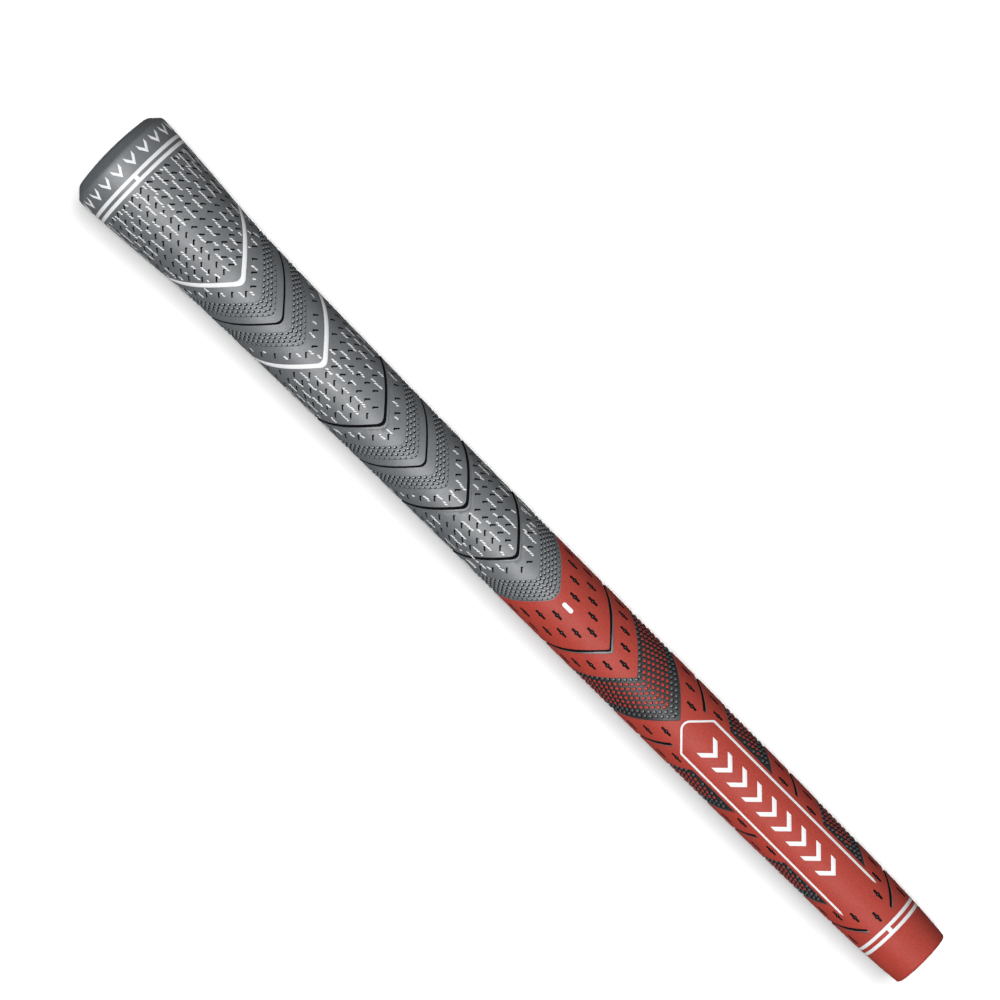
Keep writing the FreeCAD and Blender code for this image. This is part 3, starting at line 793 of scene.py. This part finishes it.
def strand(station, angle, length, width, turn, height):
    """One exposed turn of yarn: a closed lens that lies along the skin."""
    half = [(-0.5, -0.12), (-0.5, 0.1), (-0.28, 0.4), (0.1, 0.5), (0.42, 0.36)]
    outline = half + [(-x, -y) for x, y in half]
    crests_and_underside = [(-0.3, 0.0), (0.3, 0.0), (0.0, 0.0)]
    flat = np.array(turned([(x * length, y * width) for x, y in outline + crests_and_underside],
                           turn))
    rim = len(outline)
    heights = np.array([0.0] * rim + [height, height, -0.12])
    points = place(station + flat[:, 0], angle + flat[:, 1] / math.radians(radius_at(station)),
                   heights)
    faces = []
    crests = [rim if x < 0 else rim + 1 for x, _ in outline]
    for i in range(rim):
        after = (i + 1) % rim
        faces.append((i, rim + 2, after))
        if crests[i] == crests[after]:
            faces.append((i, after, crests[i]))
        else:
            faces.append((i, after, crests[after], crests[i]))
    return points, faces


def make_yarn(draw, first, last, angle):
    """A dash of yarn: short overlapping turns that wander a little from the axis."""
    parts = []
    at = first
    drift = draw.uniform(-0.05, 0.05)
    slope = draw.uniform(-0.03, 0.05)
    while at < last - 0.3:
        run = min(draw.uniform(0.6, 0.95), last - at + 0.1)
        side = (drift + slope * (at - first)) / math.radians(radius_at(at))
        parts.append(strand(at + run / 2, angle + side, run * 1.05,
                            draw.uniform(0.30, 0.46), math.radians(draw.uniform(14.0, 34.0)),
                            draw.uniform(0.04, 0.07)))
        drift = draw.uniform(-0.1, 0.1)
        at += run * draw.uniform(0.74, 1.0)
    return parts


def yarn_places(draw):
    """First and last station and angle of every dash of yarn."""
    places = []
    for first, last, offset in FLOATS:
        rows = ROWS_BUTT if first < WHITE_CHEVRONS[0] else ROWS_WAIST
        for row in range(rows):
            places.append((first, last, wrap(row * 360.0 / rows + offset)))
    for point, length, rows in V_FLOATS:
        for row in range(rows):
            angle = wrap(row * 360.0 / rows + draw.uniform(-2.5, 2.5))
            first = float(upper_v(point, angle)) - length / 2 + draw.uniform(-0.8, 0.8)
            places.append((first, first + length * draw.uniform(0.6, 1.2), angle))
    return places


def make_yarns():
    """White cotton yarns that surface between the rows of slits."""
    draw = random.Random(11)
    parts = []
    for first, last, angle in yarn_places(draw):
        angle += draw.uniform(-1.0, 1.0)
        first += draw.uniform(-0.25, 0.35)
        last += draw.uniform(-0.5, 0.25)
        while first < last and not is_clear(first, angle, 0.3):
            first += 0.3
        while last > first and not is_clear(last, angle, 0.3):
            last -= 0.3
        if last - first > 0.5 and draw.random() < 0.9:
            parts += make_yarn(draw, first, last, angle)
    points, faces = join(parts)
    make_piece("cord_yarns", points, faces, [COTTON], [], sharp=70.0)


# ---------------------------------------------------------------- lower sleeve

PIP_FLOOR = -0.28
PIP_LIMIT = 255.5
PIP_HALF = 1.6
MESH_DEPTH = 0.5
DARK_DEPTH = 0.36
BED_WALL = 0.08
DEGREES_PER_MM = 6.0    # round the red half, nearly
LAST_DARK = DARK_CHEVRON + (DARK_CHEVRONS - 1) * PITCH

# Pips: point of the V they follow, then their angles on both sides of its point.
PIP_ROWS = [(154.0, (17.7, 35.5, 53.8, 70.0)), (159.95, (0.0, 16.1, 32.1, 48.8, 67.0)),
            (170.7, (0.0, 17.8, 35.5, 53.4, 69.0))]
for repeat in range(3):
    PIP_ROWS += [(192.65 + PITCH * repeat, (0.0, 26.0, 47.0, 68.0)),
                 (201.85 + PITCH * repeat, (0.0, 24.0, 46.0, 66.5))]


def pip_places():
    """Middles of the pips: V rows beside each dark chevron and mesh inlay."""
    places = []
    for point, angles in PIP_ROWS:
        spread = list(angles) + [-a for a in angles if a]
        for angle in spread + [180.0 + a for a in spread]:
            places.append((float(lower_v(point, angle)), wrap(angle)))
    return [(s, a) for s, a in places if pip_fits(s, a)]


def pip_fits(station, angle):
    """True if a pip keeps clear of the badge and of both ends of the sleeve.

    The badge widens from its tip at 45 degrees, up to its shoulder."""
    across = abs(radius_at(station) * math.sin(math.radians(angle)))
    on_top = math.cos(math.radians(angle)) > 0
    if station > PIP_LIMIT or station < float(split_line(angle)) + 2.0:
        return False
    if on_top and station > BADGE_SHOULDER - BADGE_HALF - 1.2:
        edge = min(BADGE_HALF, max(0.0, station + PIP_HALF - BADGE_SHOULDER + BADGE_HALF))
        return across > edge + 0.9 or station > BADGE_END + PIP_HALF + 0.1
    return True


def add_pip(skin, station, angle):
    """One sunken pip with a small dome at its middle; its recess is tagged for near-black
    painted shade.
    """
    skin.shape(station, angle, dagger(0.0), 0.0)
    skin.shape(station, angle, dagger(0.07), PIP_FLOOR, tag=1)
    skin.shape(station, angle, ellipse(0.26, 0.24), PIP_FLOOR, tag=1)
    skin.shape(station, angle, ellipse(0.17, 0.13), -0.10, tag=2)
    skin.add(station, angle, -0.03, tag=2)


def lower_line(point):
    """A lower V line as a function of the angle."""
    return lambda angles: lower_v(point, angles)


def gap_angle(half_gap, station):
    """Angle on the top side at which the skin is a half gap away from the middle plane."""
    return math.degrees(math.asin(half_gap / float(radius_at(station))))


def mesh_edge(index):
    """Angle at which a mesh inlay starts beside the badge; 0 for the whole first one.

    The gap is measured at the station where the inlay's arm ends, nearly."""
    return gap_angle(MESH_GAP, 175.0 + 30.0 * index) if index else 0.0


def dark_edge(index):
    """Angle at which a dark chevron starts; 0 for the whole first one."""
    if index == DARK_CHEVRONS - 1:
        far = LAST_DARK + DARK_WIDTH
        return min(a for a in np.arange(1.0, 90.0, 0.5) if float(lower_v(far, a)) < DARK_LIMIT)
    return gap_angle(DARK_GAPS[index], 163.0 + 29.0 * index) if index else 0.0


def lower_bands():
    """Sunken bands that run under the grip: start, width, angle where each starts, depth."""
    bands = [(MESH + i * PITCH, MESH_WIDTH, mesh_edge(i), MESH_DEPTH) for i in range(MESH_BANDS)]
    return bands + [(DARK_CHEVRON + i * PITCH, DARK_WIDTH, dark_edge(i), DARK_DEPTH)
                    for i in range(DARK_CHEVRONS - 1)]


def add_v_outline(skin, start, width, low, high, inset, height):
    """Outline of a V inlay between two angles, open at the ends that lie on the seam."""
    trim = math.degrees(inset / float(radius_at(start)))
    open_low, open_high = low == SEAM, high == SEAM_END
    angles = angles_between(low + trim * (not open_low), high - trim * (not open_high))
    near = [(float(lower_v(start, a)) + inset, a) for a in angles]
    far = [(float(lower_v(start, a)) + width - inset, a) for a in angles]
    if open_low and open_high:
        skin.line(near, height)
        skin.line(far, height)
    elif open_high:
        skin.line(near[::-1] + far, height)
    else:
        skin.line(near + far[::-1], height, closed=not open_low)


def add_bed(skin, start, width, low, high, depth):
    """The bed of a V inlay between two angles."""
    add_v_outline(skin, start, width, low, high, 0.0, 0.0)
    add_v_outline(skin, start, width, low, high, BED_WALL, -depth)


def sunken_depth(station, angle, margin):
    """Depth of the inlay bed at points of the lower sleeve, or 0 where there is none."""
    station, angle = np.asarray(station, float), np.asarray(angle, float)
    found = np.zeros(station.shape)
    from_top = np.abs((angle + 180.0) % 360.0 - 180.0)
    for start, width, edge, depth in lower_bands():
        near = lower_v(start, angle)
        inside = (station > near - margin) & (station < near + width + margin)
        found[inside & (from_top > edge - margin * DEGREES_PER_MM)] = depth
    near = lower_v(LAST_DARK, angle)
    inside = (station > near) & (station < near + DARK_WIDTH)
    cut = dark_edge(DARK_CHEVRONS - 1)
    found[inside & (from_top > cut) & (from_top < 180.0 - cut)] = DARK_DEPTH
    return found


def lower_floor(station, angle):
    """Height of the plain lower skin."""
    return -sunken_depth(station, angle, 0.0)


def make_lower_skin():
    """Flat layout of the lower sleeve's outer surface."""
    skin = Skin()
    v_line(skin, split_line, 0.0)
    v_line(skin, level(MOUTH_CORNER), 0.0)
    for start, width, edge, depth in lower_bands():
        if edge:
            add_bed(skin, start, width, edge, SEAM_END, depth)
            add_bed(skin, start, width, SEAM, -edge, depth)
        else:
            line = lower_line(start)
            add_trough(skin, line, shifted(line, width), depth, BED_WALL)
    cut = dark_edge(DARK_CHEVRONS - 1)
    for side in (0.0, -180.0):
        add_bed(skin, LAST_DARK, DARK_WIDTH, side + cut, side + 180.0 - cut, DARK_DEPTH)
    for station, angle in pip_places():
        if not sunken_depth(station, angle, 0.8):
            add_pip(skin, station, angle)
    skin.fill(SPLIT - 14.0, MOUTH_CORNER - 0.5, lower_floor, 0.42)
    return skin


def make_lower_sleeve():
    """Red sleeve with pips and the beds of the dark inlays; the pips' recesses and the beds'
    floors are coloured near-black as painted shadow.
    """
    finish_sleeve("lower_sleeve", make_lower_skin(), split_line, level(MOUTH_CORNER),
                  [RED, PIP, DARK, SLIT])
    make_mouth_lip()


def make_mouth_lip():
    """Rounded red edge between the skin and the mouth face, down to the core."""
    lip = LENGTH - MOUTH_CORNER
    corner, radius = OUTLINE[-1]
    profile = [(corner, radius)]
    for i in range(1, 7):
        a = math.pi / 2 * i / 6
        profile.append((corner + lip * math.sin(a), radius - lip * (1 - math.cos(a))))
    profile += [(LENGTH, 6.9), (corner, 6.95)]
    make_turned("lower_sleeve_lip", profile, 180, RED, [], 40.0)


def make_turned(name, profile, segments, material, nodes, sharp):
    """A piece whose closed profile, of station and radius, is turned about the shaft axis."""
    around = [2 * math.pi * i / segments for i in range(segments)]
    points = [((station - LENGTH) * MM, radius * math.sin(a) * MM, radius * math.cos(a) * MM)
              for a in around for station, radius in profile]
    faces = grid_faces(segments, len(profile), True)
    make_piece(name, points, faces, [material], nodes, sharp=sharp)


# ---------------------------------------------------------------- dark inlays

DARK_PROFILE = [(0.0, -0.42), (0.0, -0.24), (0.25, -0.15), (0.6, -0.12), (0.85, -0.10),
                (1.0, -0.14), (1.0, -0.42)]

# Share of the width left as a sunken gutter, coloured near-black as painted shadow.
GUTTER_SHARES = [0.28, 0.80]    # at the point of the V and on its arms


def dark_chevron_parts(index):
    """The V line as one or more closed bands, set off at the butt side by a sunken gutter in
    near-black painted shadow.
    """
    start, edge = DARK_CHEVRON + index * PITCH, dark_edge(index)
    if index == DARK_CHEVRONS - 1:
        spans = [(edge, 180.0 - edge), (edge - 180.0, -edge)]
    else:
        spans = [(edge, 360.0 - edge)] if edge else [(SEAM, SEAM_END)]
    parts, tags = [], []
    for low, high in spans:
        angles = full_turn()[:-1] if not edge else angles_between(low + 0.4, high - 0.4)
        inside = np.abs((angles + 90.0) % 180.0 - 90.0)
        gutter = DARK_WIDTH * np.interp(inside, [12.0, 44.0], GUTTER_SHARES)
        parts.append(sweep(angles, lower_v(start, angles) + gutter, DARK_WIDTH - gutter,
                           DARK_PROFILE, not edge))
        count = len(DARK_PROFILE)
        sides = (len(angles) - bool(edge)) * count
        tags += [int(i % count < 2 and i < sides) for i in range(len(parts[-1][1]))]
    return parts, tags


def make_dark_chevrons():
    """Dark V lines of the lower sleeve."""
    for index in range(DARK_CHEVRONS):
        name = "dark_chevron_%d" % (index + 1)
        parts, tags = dark_chevron_parts(index)
        points, faces = join(parts)
        make_piece(name + "_inlay", points, faces, [DARK, SLIT], [name], tags)


MESH_FLOOR = -0.24
MESH_COLUMNS = 60
MESH_ROWS = 9
MESH_PLAIN_ROWS = (0, 7, 8)
MESH_FIRST_ROW = 0.68
MESH_END_CLEAR = 3.8     # degrees without bumps at the ends of an inlay
MESH_END_PLAIN = 8.5     # degrees in which its bumps stay dark
MESH_RISE = 0.23
MESH_HALF_LONG = 0.58
MESH_HALF_WIDE = 0.46


def make_mesh_band(index):
    """A dark V inlay with staggered oval bumps, red-topped except along its edges; its low floor
    takes painted shade and the crescents painted shadow.
    """
    start, edge = MESH + index * PITCH, mesh_edge(index)
    low, high = (edge, 360.0 - edge) if edge else (SEAM, SEAM_END)
    skin = Skin()
    add_v_outline(skin, start, MESH_WIDTH, low, high, 0.0, -0.08)
    add_v_outline(skin, start, MESH_WIDTH, low, high, 0.1, MESH_FLOOR)
    add_mesh_bumps(skin, start, low, high, bool(edge))
    if not edge:
        for angle in (low, high):
            first = float(lower_v(start, angle))
            for station in np.arange(first + 1.0, first + MESH_WIDTH - 0.6, 1.0):
                skin.add(station, angle, MESH_FLOOR)

    def inside(s, a):
        return ((s > lower_v(start, a)) & (s < lower_v(start, a) + MESH_WIDTH)
                & (a > low) & (a < high))

    node = "mesh_band_%d" % (index + 1)
    finish_skin(node + "_inlay", skin, inside, add_underside, [DARK, SLIT, RED_TOP, VALLEY_SHADE],
                42.0, node)


def add_mesh_bumps(skin, start, low, high, open_ends):
    """Staggered rows of bumps; only the crowns of the inner ones are tagged red."""
    for row in range(MESH_ROWS):
        for column in range(-MESH_COLUMNS, 2 * MESH_COLUMNS):
            angle = (column + 0.5 * ((row + 1) % 2)) * 360.0 / MESH_COLUMNS
            to_end = min(angle - low, high - angle)
            if to_end <= MESH_END_CLEAR:
                continue
            near_end = open_ends and to_end < MESH_END_PLAIN
            station = float(lower_v(start, angle)) + MESH_FIRST_ROW + row * MESH_STEP
            crown, tag = (0.6, 0) if row in MESH_PLAIN_ROWS or near_end else (0.74, 2)
            add_bump(skin, station, angle, MESH_FLOOR, MESH_RISE, MESH_HALF_LONG,
                     MESH_HALF_WIDE, crown, tag)


def add_underside(points, stations, angles, faces):
    """Close a mesh inlay with a smooth underside and walls along its free edges."""
    under = place(stations, angles, 0.02 - MESH_DEPTH)
    count = len(points)
    sides = {(int(face[i - 1]), int(face[i])): True for face in faces for i in (1, 2, 0)}
    on_seam = np.isclose(angles, SEAM) | np.isclose(angles, SEAM_END)
    walls = [(b, a, a + count, b + count) for a, b in sides
             if (b, a) not in sides and not (on_seam[a] and on_seam[b])]
    flipped = [(int(a) + count, int(c) + count, int(b) + count) for a, b, c in faces]
    all_faces = [tuple(int(i) for i in f) for f in faces] + flipped + walls
    return np.concatenate([points, under]), all_faces


# ---------------------------------------------------------------- paint fills

RING_BAR_HALF = 0.55
PAINT_PROFILE = [(0.0, -0.35), (0.0, 0.0), (0.06, 0.03), (0.5, 0.04), (0.94, 0.03), (1.0, 0.0),
                 (1.0, -0.35)]


def make_paint(node, parts):
    """White paint that replaces a CAD node, made of one or more closed parts."""
    points, faces = join(parts)
    make_piece(node + "_paint", points, faces, [WHITE], [node])


def make_ring_pair(node, first, second, width):
    """Two rings joined by a short bar on the top line."""
    rings = [sweep(full_turn()[:-1], start, width, PAINT_PROFILE, True)
             for start in (first, second)]
    start = first + width / 2
    half = math.degrees(RING_BAR_HALF / float(radius_at(start)))
    bar = sweep(np.linspace(-half, half, 5), start, second - first, PAINT_PROFILE, False)
    make_paint(node, rings + [bar])


def make_white_chevrons():
    """Painted V lines of the upper sleeve."""
    angles = np.arange(SEAM, SEAM_END, STEP / 2)
    for index, start in enumerate(WHITE_CHEVRONS, start=1):
        band = sweep(angles, upper_v(start, angles), WHITE_WIDTH, PAINT_PROFILE, True)
        make_paint("white_chevron_%d" % index, [band])


def arrow_band(point, angle, half_width, rise, line):
    """A small painted chevron that points to the mouth."""
    half = math.degrees(half_width / float(radius_at(point)))
    offsets = np.linspace(-half, half, 13)
    starts = point - line - rise * np.abs(offsets) / half
    return sweep(angle + offsets, starts, line, PAINT_PROFILE, False)


def make_motifs():
    """Plain chevrons on the badge and round the cap."""
    make_paint("badge_motif", [arrow_band(201.55 + 4.9 * i, 0.0, 2.7, 2.7, 1.5)
                               for i in range(9)])
    make_paint("cap_motif", [arrow_band(7.5, 18.0 * (i + 0.5), 1.35, 2.0, 1.2)
                             for i in range(20)])


def ribbon(path, width):
    """A painted line with round ends along a path of station and sideways distance."""
    path = np.array(path)
    ahead = np.gradient(path, axis=0)
    ahead /= np.linalg.norm(ahead, axis=1)[:, None]
    side = np.stack([-ahead[:, 1], ahead[:, 0]], -1)
    run = np.concatenate([[0], np.cumsum(np.linalg.norm(np.diff(path, axis=0), axis=1))])
    near = np.minimum(run, run[-1] - run)
    inside = np.clip(1 - near / (width / 2), 0.0, 0.995)
    half = width / 2 * np.sqrt(1 - inside ** 2)
    rows = []
    for share, height in PAINT_PROFILE:
        flat = path + side * (half * (2 * share - 1))[:, None]
        turn = np.degrees(np.arcsin(flat[:, 1] / radius_at(flat[:, 0])))
        rows.append(place(flat[:, 0], turn, height))
    points = np.stack(rows, 1).reshape(-1, 3)
    return points, tube_faces(len(path), len(PAINT_PROFILE), False)


def arc_points(centre, radius, first, last, count):
    """Points of an arc in the plan of station and sideways distance."""
    angles = np.radians(np.linspace(first, last, count))
    return [(centre[0] + radius * math.cos(a), centre[1] + radius * math.sin(a))
            for a in angles]


def run_points(first, last, spacing):
    """Evenly spaced points from first up to, but not with, last."""
    first, last = np.array(first), np.array(last)
    count = max(1, int(np.linalg.norm(last - first) / spacing))
    return [tuple(first + (last - first) * i / count) for i in range(count)]


def badge_path():
    """Centre line of the badge's outline, from one open end round the tip to the other."""
    tip = BADGE_SHOULDER - BADGE_HALF
    tip_centre = (tip + BADGE_TIP_RADIUS * math.sqrt(2), 0.0)
    corner = 0.5
    bend = (BADGE_SHOULDER + corner * math.tan(math.radians(22.5)), BADGE_HALF - corner)
    half = run_points((BADGE_END, BADGE_HALF), (bend[0], BADGE_HALF), 1.0)
    half += arc_points(bend, corner, 90.0, 135.0, 5)
    arc = arc_points(tip_centre, BADGE_TIP_RADIUS, 135.0, 180.0, 8)
    half += run_points(half.pop(), arc[0], 0.5)
    half += arc[:-1]
    return half + [arc[-1]] + [(s, -t) for s, t in reversed(half)]


def make_badge_and_mark():
    """Badge outline and alignment mark."""
    make_paint("badge_outline", [ribbon(badge_path(), BADGE_LINE)])
    path = [(station, 0.0) for station in np.linspace(MARK, MARK + MARK_LENGTH, 41)]
    make_paint("alignment_mark", [ribbon(path, MARK_WIDTH)])


# ---------------------------------------------------------------- cap and core

def make_cap():
    """Rubber cap: vent, domed face, rounded rim chamfer and skirt."""
    crown_rise, crown_radius, vent = 0.9, 11.4, 1.7
    dome = (crown_radius ** 2 + crown_rise ** 2) / (2 * crown_rise)
    profile = [(4.5, vent), (0.35, vent), (0.12, vent + 0.08), (0.02, vent + 0.3)]
    for radius in np.linspace(vent + 0.8, crown_radius - 0.5, 12):
        profile.append((dome - math.sqrt(dome ** 2 - radius ** 2), radius))
    profile += [(0.92, 11.25), (1.05, 11.5), (1.25, 11.75), (2.9, 13.45), (3.1, 13.62),
                (3.35, 13.75), (3.7, 13.82)]
    for station in np.linspace(4.2, CAP_END, 14):
        profile.append((station, float(radius_at(station))))
    profile += [(CAP_END, float(core_radius_at(CAP_END))), (4.5, 11.9)]
    make_turned("end_cap_shell", profile, 240, CAP_GREY, ["end_cap"], 28.0)


def finish_cad_nodes():
    """Materials of the CAD nodes that stay: the core that lines the bore and the cord ply."""
    for node, material in (("core_sleeve", BLACK), ("cord_ply", COTTON)):
        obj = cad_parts[node]
        obj.data.materials.clear()
        obj.data.materials.append(material)


# ---------------------------------------------------------------- stage

# All in metres. Lamps for the grip: name, position, power, size along the grip and across.
LAMPS = [("softbox", (-0.115, -0.33, 0.84), 5.4, 0.55, 0.60),
         ("ceiling", (-0.135, -0.2, 2.2), 52.0, 5.5, 5.5),
         ("side_fill", (-0.135, 1.6, 0.75), 4.2, 1.5, 2.5)]
# Suns for the floor: name, position, power, degrees across.
SUNS = [("floor_sun", (-0.135, 0.0, 1.0), 1.95, 10.0),
        ("floor_side_sun", (-0.135, 0.25, 1.0), 1.9, 24.0)]
SURROUND_GLOW = 0.10
FLOOR_GAP = 0.0002
FLOOR_HALF = 3.0
WALL_HEIGHT = 4.0
CAMERA_PLACE = (-0.173, 0.043, 1.380)
CAMERA_TARGET = (-0.147, 0.0064, 0.0)
CAMERA_LENS = 211.0


def make_stage_mesh(name, points, faces, colour, glow):
    """A stage surface that the camera sees but that sends no light to the grip."""
    mesh = bpy.data.meshes.new(name)
    mesh.from_pydata(points, [], faces)
    obj = add_object(name, mesh)
    material, _, shader = new_material(name + "_white", 0.9, 0.1)
    shader.inputs["Base Color"].default_value = (colour, colour, colour, 1.0)
    shader.inputs["Emission Color"].default_value = (1.0, 1.0, 1.0, 1.0)
    shader.inputs["Emission Strength"].default_value = glow
    mesh.materials.append(material)
    obj.visible_diffuse = False
    obj.visible_glossy = False
    obj.visible_shadow = False
    return obj


def make_floor():
    """Plain white floor just under the butt rim, and a white surround behind it."""
    z = CAD_BOX[0][2] - FLOOR_GAP
    corners = [(-FLOOR_HALF, -FLOOR_HALF), (FLOOR_HALF, -FLOOR_HALF),
               (FLOOR_HALF, FLOOR_HALF), (-FLOOR_HALF, FLOOR_HALF)]
    floor = make_stage_mesh("floor", [(x, y, z) for x, y in corners], [(0, 1, 2, 3)], 0.9, 0.0)
    wall = [(x, y, z) for x, y in corners] + [(x, y, z + WALL_HEIGHT) for x, y in corners]
    faces = [(i, (i + 1) % 4, (i + 1) % 4 + 4, i + 4) for i in range(4)]
    make_stage_mesh("surround", wall, faces, 0.0, 1.0)
    return floor


def aim(obj, position, target, up):
    """Place an object so that its -Z axis looks at a target."""
    back = (Vector(position) - Vector(target)).normalized()
    right = Vector(up).cross(back).normalized()
    rotation = Matrix((right, back.cross(right), back)).transposed()
    obj.matrix_world = Matrix.Translation(position) @ rotation.to_4x4()


def add_light(kind, name, position, power, receivers):
    """A lamp above the grip that lights only the objects in a collection."""
    data = bpy.data.lights.new(name, kind)
    data.energy = power
    light = add_object(name, data)
    aim(light, position, (-LENGTH / 2 * MM, 0.0, 0.0), (1, 0, 0))
    light.visible_camera = False
    light.light_linking.receiver_collection = receivers
    return data


def collection_of(name, objects):
    """A collection of objects, for the light linking."""
    collection = bpy.data.collections.new(name)
    for obj in objects:
        collection.objects.link(obj)
    return collection


def make_lights(floor):
    """Lamps that light the grip, suns that light the floor, and a dim surround."""
    for_floor = collection_of("lit_floor", [floor])
    for_grip = collection_of("lit_grip", [
        obj for obj in bpy.context.scene.objects
        if obj.type == "MESH" and obj.name not in ("floor", "surround")])
    for name, position, power, along, across in LAMPS:
        lamp = add_light("AREA", name, position, power, for_grip)
        lamp.shape = "RECTANGLE"
        lamp.size, lamp.size_y = along, across
    for name, position, power, breadth in SUNS:
        sun = add_light("SUN", name, position, power, for_floor)
        sun.angle = math.radians(breadth)
    world = bpy.data.worlds.new("surround")
    world.use_nodes = True
    background = world.node_tree.nodes["Background"]
    background.inputs["Color"].default_value = (1.0, 1.0, 1.0, 1.0)
    background.inputs["Strength"].default_value = SURROUND_GLOW
    bpy.context.scene.world = world


def make_camera():
    """Camera nearly straight above, with the butt at the upper left of the picture."""
    data = bpy.data.cameras.new("camera")
    data.sensor_width = 36.0
    data.lens = CAMERA_LENS
    data.clip_end = 20.0
    camera = add_object("camera", data)
    aim(camera, CAMERA_PLACE, CAMERA_TARGET, (-1.0, 1.0, 0.0))
    bpy.context.scene.camera = camera


def build():
    """Everything, in the order of the grip from cap to mouth, then the stage."""
    make_cap()
    make_upper_sleeve()
    make_yarns()
    make_lower_sleeve()
    make_dark_chevrons()
    for index in range(MESH_BANDS):
        make_mesh_band(index)
    make_ring_pair("butt_rings", 8.55, 10.25, 0.9)
    make_ring_pair("mouth_rings", 257.5, 259.3, 0.85)
    make_white_chevrons()
    make_motifs()
    make_badge_and_mark()
    finish_cad_nodes()
    make_lights(make_floor())
    make_camera()
    bpy.context.scene.view_settings.view_transform = "Standard"


build()
